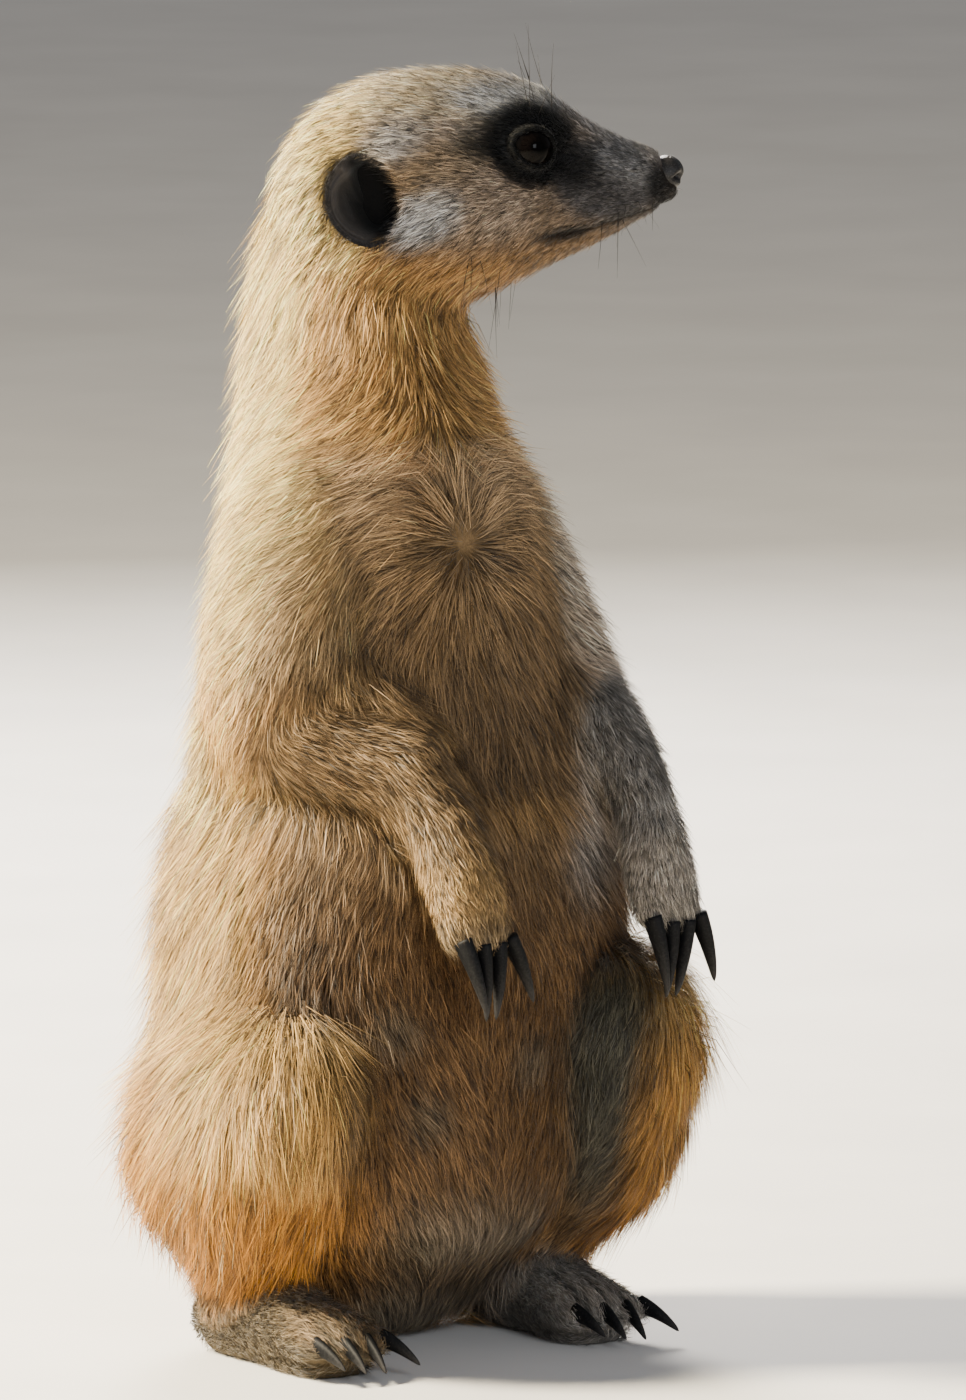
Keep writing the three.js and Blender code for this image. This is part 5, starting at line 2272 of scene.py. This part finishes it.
@dataclass
class Ears:
    """Both ears: a raised rim, ridges inside it, a deep hollow and a rounded back."""

    flare: float = 5.2
    front_rim: float = -0.9
    bowl: float = 4.6
    inner_share: float = 0.58
    back_depth: float = 5.2
    hollow_colour: Place = (0.010, 0.009, 0.009)
    # painted sheen on the raised ridges
    ridge_light: Place = (0.04, 0.034, 0.03)
    turns: int = 128
    rings: int = 72

    def build(self) -> None:
        """Makes and hands in both ears."""
        finish = PaintedFinish("ear_skin", 0.7, 0.25, grain_size=0.5, contrast=0.3, bump=0.08, sheen=0.15)
        material = finish.material()
        for side in Side:
            made, tint = self._shape(side)
            name = f"ear_shell_{side.word}"
            mesh = made.mesh(name)
            set_tint(mesh, tint)
            hand_in(add_object(name, mesh, material), (f"ear_{side.word}",))

    def _height(self, turn: Array, inside: Array, outside: Array) -> Array:
        """How far the ear stands out, over its front face and then its back.

        Args:
            turn: the turn round the ear.
            inside: the share of its radius on the front face.
            outside: the way down its back, from 0 to 1.

        Returns:
            The heights.
        """
        rear = soft(0.5 - 0.5 * np.cos(turn), 0.12, 0.75)
        rim = self.front_rim + self.flare * rear
        front, top = inside * np.cos(turn), inside * np.sin(turn)
        dish = -self.bowl * (1 - inside**2) + rim * inside**3
        hole = -3.4 * hump((front - 0.32) / 0.34) * hump((top + 0.02) / 0.5)
        shelf = 2.6 * soft(-front, -0.05, 0.3) * (1 - inside**4)
        within = soft(inside, 1.0, 0.8)
        ridge = 1.5 * hump((front + 0.05 + 0.2 * top) / 0.10) * soft(np.abs(top - 0.3), 0.5, 0.25)
        rear_turn = np.abs(np.angle(np.exp(1j * (turn - 3.75))))
        second = 1.7 * hump((inside - 0.6) / 0.11) * soft(rear_turn, 1.7, 0.9)
        lump = 2.0 * hump((front - 0.78) / 0.17) * hump((top + 0.05) / 0.26)
        fold = 1.2 * hump((top - 0.52 - 0.3 * front) / 0.09) * soft(np.abs(front), 0.6, 0.3)
        height = dish + (hole + shelf + ridge + second + lump + fold) * within
        return height * (1 - outside**2) - outside**1.2 * (rim * (1 - outside) + self.back_depth)

    def rim(self, side: Side, turn: Array) -> tuple[Array, Array]:
        """Places along the ear's rim, and the directions in which its hairs point.

        Args:
            side: which ear.
            turn: turns round it.

        Returns:
            The places and the directions.
        """
        whole, none = np.ones_like(turn), np.zeros_like(turn)
        around = np.stack((np.cos(turn), 0.35 * side.value * whole, np.sin(turn)), axis=-1)
        return self._placed(side, turn, 0.97 * whole, self._height(turn, whole, none)), around

    def _placed(self, side: Side, turn: Array, radius: Array, height: Array) -> Array:
        """Where points of the ear lie, by their turn, their share of its size and their height.

        Args:
            side: which ear.
            turn: turns round it.
            radius: shares of its size.
            height: heights over its root.

        Returns:
            Points of the model.
        """
        ahead = EAR.long * radius * np.cos(turn)
        up = EAR.tall * radius * (1 - 0.06 * np.cos(2 * turn)) * np.sin(turn)
        lean = math.radians(EAR.lean)
        turned_ahead = ahead * math.cos(lean) - up * math.sin(lean)
        turned_up = ahead * math.sin(lean) + up * math.cos(lean)
        aside = side.value * (EAR.aside + height - 0.10 * (turned_ahead + 4))
        spots = np.stack((EAR.ahead + turned_ahead, aside, EAR.up + turned_up), axis=-1)
        return HEAD.place(spots.reshape(-1, 3)).reshape(spots.shape)

    def _shape(self, side: Side) -> tuple[Surface, Array]:
        """Both faces of the ear as one closed surface, with its colours: the ear's black, and a painted sheen
        on its raised ridges.

        Args:
            side: which ear.

        Returns:
            The surface, and one colour to a point.
        """
        turn = np.linspace(0, 2 * math.pi, self.turns, endpoint=False)[None, :]
        trip = np.linspace(0, 1, self.rings)[:, None]
        inside = np.minimum(trip / self.inner_share, 1)
        outside = np.clip((trip - self.inner_share) / (1 - self.inner_share), 0, 1)
        radius = np.sin(inside * math.pi / 2) - 0.24 * outside**1.5
        height = self._height(turn, inside, outside)
        made = capped(self._placed(side, turn, radius, height))
        if side is Side.LEFT:
            made.faces = made.faces[:, ::-1]
        # painted sheen: the raised parts are lighter than the hollow
        raised = np.concatenate([soft(height, -4.5, 1.5).reshape(-1), (0.0, 0.0)])
        return made, to_linear(np.array(self.hollow_colour)) + raised[:, None] ** 2 * self.ridge_light


# ---- Claws ----


@dataclass
class Claws:
    """The claws of one hand or foot, set by nodes on the ends of its digits."""

    limb: str
    side: Side
    curl_to: Place
    curl: float
    thickness: float
    sunk: float = 1.6
    rings: int = 22
    sides: int = 16
    flatness: float = 0.62
    seed: int = 3

    @property
    def nodes(self) -> Names:
        """The solids of these claws."""
        return tuple(f"claw_{self.limb}_{self.side.word}_{i + 1}" for i in range(4))

    def build(self, tree: GeometryTree, finish: Material) -> None:
        """Makes and hands in the claws.

        Args:
            tree: the node group that sets claws.
            finish: the horn.
        """
        flesh = solid(f"{self.limb}_{self.side.word}").points.mean(axis=0)
        random = np.random.default_rng(self.seed)
        places, turns, sizes = [], [], []
        curl_to = unit(np.array(self.curl_to))
        for node in self.nodes:
            points = solid(node).points
            tip = points[lengths(points - flesh).argmax()]
            root = points[lengths(points - tip).argmax()]
            ahead = tip - root - curl_to * self.curl
            length = float(np.linalg.norm(ahead))
            ahead = unit(ahead / length + 0.09 * random.normal(size=3))
            belly = unit(curl_to - ahead * (curl_to @ ahead))
            axes = Matrix((np.cross(belly, ahead), belly, ahead)).transposed()
            turns.append(tuple(axes.to_euler()))
            places.append(root - ahead * self.sunk)
            sizes.append(length + self.sunk)
        mesh = Surface(np.array(places), np.zeros((0, 3), int)).mesh("claw_roots")
        set_attribute(mesh, "turn", "FLOAT_VECTOR", np.array(turns))
        master = self._master(float(np.mean(sizes)))
        name = f"claws_{self.limb}_{self.side.word}"
        piece = tree.run(mesh, name, {"Claw": master, "Finish": finish})
        drop_attributes(piece, "turn")
        discard(master)
        hand_in(piece, self.nodes)

    def _master(self, length: float) -> Piece:
        """One claw with its root at the origin, running along Z and curling towards Y.

        Args:
            length: the claws' mean length.

        Returns:
            The claw.
        """
        along = np.linspace(0, 1, self.rings)[:, None]
        turn = np.linspace(0, 2 * math.pi, self.sides, endpoint=False)[None, :]
        base = self.thickness * length
        thick = base * np.sqrt(np.clip(1 - along**1.6, 0, 1)) * (1 - 0.32 * along) + 0.02
        groove = 1 - 0.28 * hump((turn - math.pi / 2) / 0.55)
        x = thick * self.flatness * np.cos(turn)
        y = thick * np.sin(turn) * groove + self.curl * 1.15 * along**2.1
        z = np.broadcast_to(length * along, x.shape)
        mesh = capped(np.stack((x, y, z), axis=-1)).mesh("claw")
        wear = np.concatenate([np.broadcast_to(along**3, x.shape).reshape(-1), (0.0, 1.0)])
        set_attribute(mesh, "Wear", "FLOAT", wear)
        return add_object("claw", mesh)


def claw_tree() -> GeometryTree:
    """Geometry nodes that set a claw on each root, turned as its digit is.

    Returns:
        The node group.
    """
    tree = GeometryTree("claws", {"Claw": "Object", "Finish": "Material"})
    sown, claws = tree.instanced("Claw")
    turn = tree.add("FunctionNodeEulerToRotation", in_0=tree.named("turn", "FLOAT_VECTOR"))
    tree.join(turn.outputs[0], sown.inputs["Rotation"])
    tree.finish(claws)
    return tree


# ---- Whiskers and guard hairs ----


def bristle_tree() -> GeometryTree:
    """Geometry nodes that run a thin tapering tube along each line.

    Returns:
        The node group.
    """
    tree = GeometryTree("bristles", {"Sides": "Int", "Finish": "Material"})
    radius, sides = tree.named("bristle", "FLOAT"), tree.source["Sides"]
    lines = tree.add("GeometryNodeMeshToCurve", in_0=tree.source["Geometry"]).outputs[0]
    sized = tree.add("GeometryNodeSetCurveRadius", in_Curve=lines, in_Radius=radius).outputs[0]
    ring = tree.add("GeometryNodeCurvePrimitiveCircle", mode="RADIUS", in_Radius=1.0, in_Resolution=sides)
    settings = {"in_Profile_Curve": ring.outputs[0], "in_Scale": radius, "in_Fill_Caps": True}
    tube = tree.add("GeometryNodeCurveToMesh", in_Curve=sized, **settings)
    tree.finish(tree.realized(tube.outputs[0]))
    return tree


@dataclass(frozen=True)
class Bunch:
    """Long single hairs that start in one spot of the head and lean one way, on both sides."""

    ahead: float
    aside: float
    up: float
    spread: Place
    lean: Place
    count: int
    length: float
    radius: float
    droop: float = 0.12


@dataclass
class Bristles:
    """The whiskers, the long hairs over the eyes and the guard hairs of the coat."""

    body: Body
    seed: int = 5
    steps: int = 9
    dark: tuple[Bunch, ...] = (
        Bunch(38.5, 10.0, 21.0, (2.6, 2.0, 0.6), (-0.12, 0.25, 1.0), 5, 14.0, 0.10, -0.1),
        Bunch(53.0, 6.5, -1.5, (4.5, 1.0, 1.6), (0.1, 1.0, -0.35), 9, 15.0, 0.09),
        Bunch(31.0, 10.0, -13.0, (4.0, 4.0, 1.0), (0.15, 0.5, -1.0), 4, 12.0, 0.09, 0.3),
        Bunch(22.0, 18.0, -9.0, (2.0, 1.5, 1.5), (-0.2, 1.0, -0.6), 5, 11.0, 0.08, 0.4),
    )
    guard_count: int = 1500
    guard_length: float = 19.0
    guard_radius: float = 0.08
    rim_count: int = 420
    rim_length: float = 2.3
    rim_radius: float = 0.07
    whisker_colour: Place = (0.10, 0.085, 0.075)
    rim_colour: Place = (0.09, 0.075, 0.065)
    guard_colour: Place = (0.90, 0.80, 0.60)

    def build(self, tree: GeometryTree) -> None:
        """Makes and hands in every bristle.

        Args:
            tree: the node group that makes bristles.
        """
        self.random = np.random.default_rng(self.seed)
        finish = PaintedFinish("bristle", 0.4, 0.4, grain_size=2.0, contrast=0.1).material()
        skin = self.body.surface.tree()
        lines, radii = [], []
        for bunch, side in itertools.product(self.dark, Side):
            lines += self._grow_bunch(skin, bunch, side)
            radii += [bunch.radius] * bunch.count
        hand_in(self._piece(tree, finish, "whiskers", lines, radii, self.whisker_colour))
        lines = self._grow_rims()
        radii = [self.rim_radius] * len(lines)
        hand_in(self._piece(tree, finish, "ear_fringe", lines, radii, self.rim_colour))
        lines = self._grow_guards()
        radii = [self.guard_radius] * len(lines)
        hand_in(self._piece(tree, finish, "guard_hairs", lines, radii, self.guard_colour))

    def _line(self, root: Array, way: Array, droop: Array, length: float) -> Array:
        """Points of a line from a root, bending by its droop."""
        t = np.linspace(0, 1, self.steps)[:, None]
        return root + length * (way * t + droop * t * t)

    def _grow_bunch(self, skin: BVHTree, bunch: Bunch, side: Side) -> list[Array]:
        """Single hairs of one bunch on one side.

        Args:
            skin: the skin.
            bunch: the bunch.
            side: the side of the head.

        Returns:
            A line to a hair.
        """
        lines = []
        for _ in range(bunch.count):
            luck = self.random.normal(size=3)
            spot = np.array((bunch.ahead, side.value * bunch.aside, bunch.up)) + luck * bunch.spread
            root = np.array(skin.find_nearest(Vector(HEAD.place(spot)))[0])
            lean = np.array((bunch.lean[0], side.value * bunch.lean[1], bunch.lean[2]))
            way = unit(HEAD.turned(lean + 0.22 * self.random.normal(size=3)))
            droop = np.array((0, 0, -bunch.droop)) + 0.06 * self.random.normal(size=3)
            lines.append(self._line(root, way, droop, bunch.length * self.random.uniform(0.6, 1.15)))
        return lines

    def _grow_rims(self) -> list[Array]:
        """Short dark hairs along the rims of the ears.

        Returns:
            A line to a hair.
        """
        lines = []
        for side in Side:
            places, ways = Ears().rim(side, self.random.uniform(0, 2 * math.pi, self.rim_count))
            for place, way in zip(places, ways):
                lean = HEAD.turned(way + 0.35 * self.random.normal(size=3))
                length = self.rim_length * self.random.uniform(0.5, 1.0)
                spot = place + 0.25 * self.random.normal(size=3) - 0.5 * unit(lean)
                lines.append(self._line(spot, unit(lean), np.array((0, 0.1, -0.1)), length))
        return lines

    def _grow_guards(self) -> list[Array]:
        """Long pale hairs that stand out of the coat on the back, shoulders and haunches.

        Returns:
            A line to a hair.
        """
        body = self.body
        height = body.surface.points[:, 2]
        chance = body.share("abdomen", "thorax", "neck", "upper_arm") * 0.6
        chance += body.share("thigh", "shank") * 2.2
        chance *= soft(body.normals[:, 1], -0.75, 0.1) * 0.97 + 0.03
        chance *= (1 - body.inner_leg) * (1 - body.belly) * soft(height, 14, 30)
        chance = np.maximum(chance, 0)
        chosen = self.random.choice(len(chance), self.guard_count, replace=False, p=chance / chance.sum())
        lines = []
        for index in chosen:
            normal, lie = body.normals[index], body.lie[index]
            lift = math.radians(self.random.uniform(10, 26))
            way = lie * math.cos(lift) + normal * math.sin(lift) + 0.1 * self.random.normal(size=3)
            length = self.guard_length * self.random.uniform(0.6, 1.0) * min(1.0, body.length[index] / 14)
            line = self._line(body.surface.points[index], unit(way), np.array((0, 0, -0.08)), length)
            line[:, 2] = np.maximum(line[:, 2], 0.3)
            lines.append(line)
        return lines

    def _piece(
        self, tree: GeometryTree, finish: Material, name: str, lines: list[Array], radii: list[float],
        colour: Place,
    ) -> Piece:
        """Makes one piece from lines of equally many points.

        Args:
            tree: the node group.
            finish: the material.
            name: the piece's name.
            lines: the hairs.
            radii: their radii at the root.
            colour: their colour.

        Returns:
            The piece.
        """
        points = np.concatenate(lines) * MM
        index = np.arange(len(points)).reshape(len(lines), self.steps)
        edges = np.stack((index[:, :-1], index[:, 1:]), -1).reshape(-1, 2)
        mesh = bpy.data.meshes.new(name + "_lines")
        mesh.from_pydata(points.tolist(), edges.tolist(), [])
        taper = 1 - 0.82 * np.linspace(0, 1, self.steps)
        set_attribute(mesh, "bristle", "FLOAT", (np.array(radii)[:, None] * taper * MM).ravel())
        piece = tree.run(mesh, name, {"Sides": 4, "Finish": finish})
        set_tint(piece.data, np.tile(to_linear(np.array(colour)), (len(piece.data.vertices), 1)))
        return piece


# ---- Assembly ----


def dress_skin(body: Body) -> None:
    """Makes the skin's piece, which stands for every solid of flesh.

    Args:
        body: the animal.
    """
    mesh = body.surface.mesh("skin")
    set_tint(mesh, body.tint * SKIN_LIGHT)
    finish = PaintedFinish("skin", 0.8, 0.1, grain_size=0.5, contrast=0.35, bump=0.15)
    piece = add_object("skin", mesh, finish.material())
    hand_in(piece, tuple(r.node for r in body.regions))


def main() -> None:
    """Builds the studio and the animal."""
    logging.basicConfig(level=logging.INFO, format="%(name)s: %(message)s")
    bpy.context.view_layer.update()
    Studio().build()
    body = Body()
    body.build()
    dress_skin(body)
    CoatMaker(body).build(tuft_tree())
    Eyes().build()
    Nose().build()
    Ears().build()
    claws, horn = claw_tree(), HornFinish("horn", 0.55, 0.1).material()
    for side in Side:
        Claws("hand", side, (0.0, 1.0, -0.2), 2.6, 0.172).build(claws, horn)
        Claws("foot", side, (0.0, -0.1, -1.0), 1.6, 0.19).build(claws, horn)
    Bristles(body).build(bristle_tree())


if __name__ == "__main__":
    main()
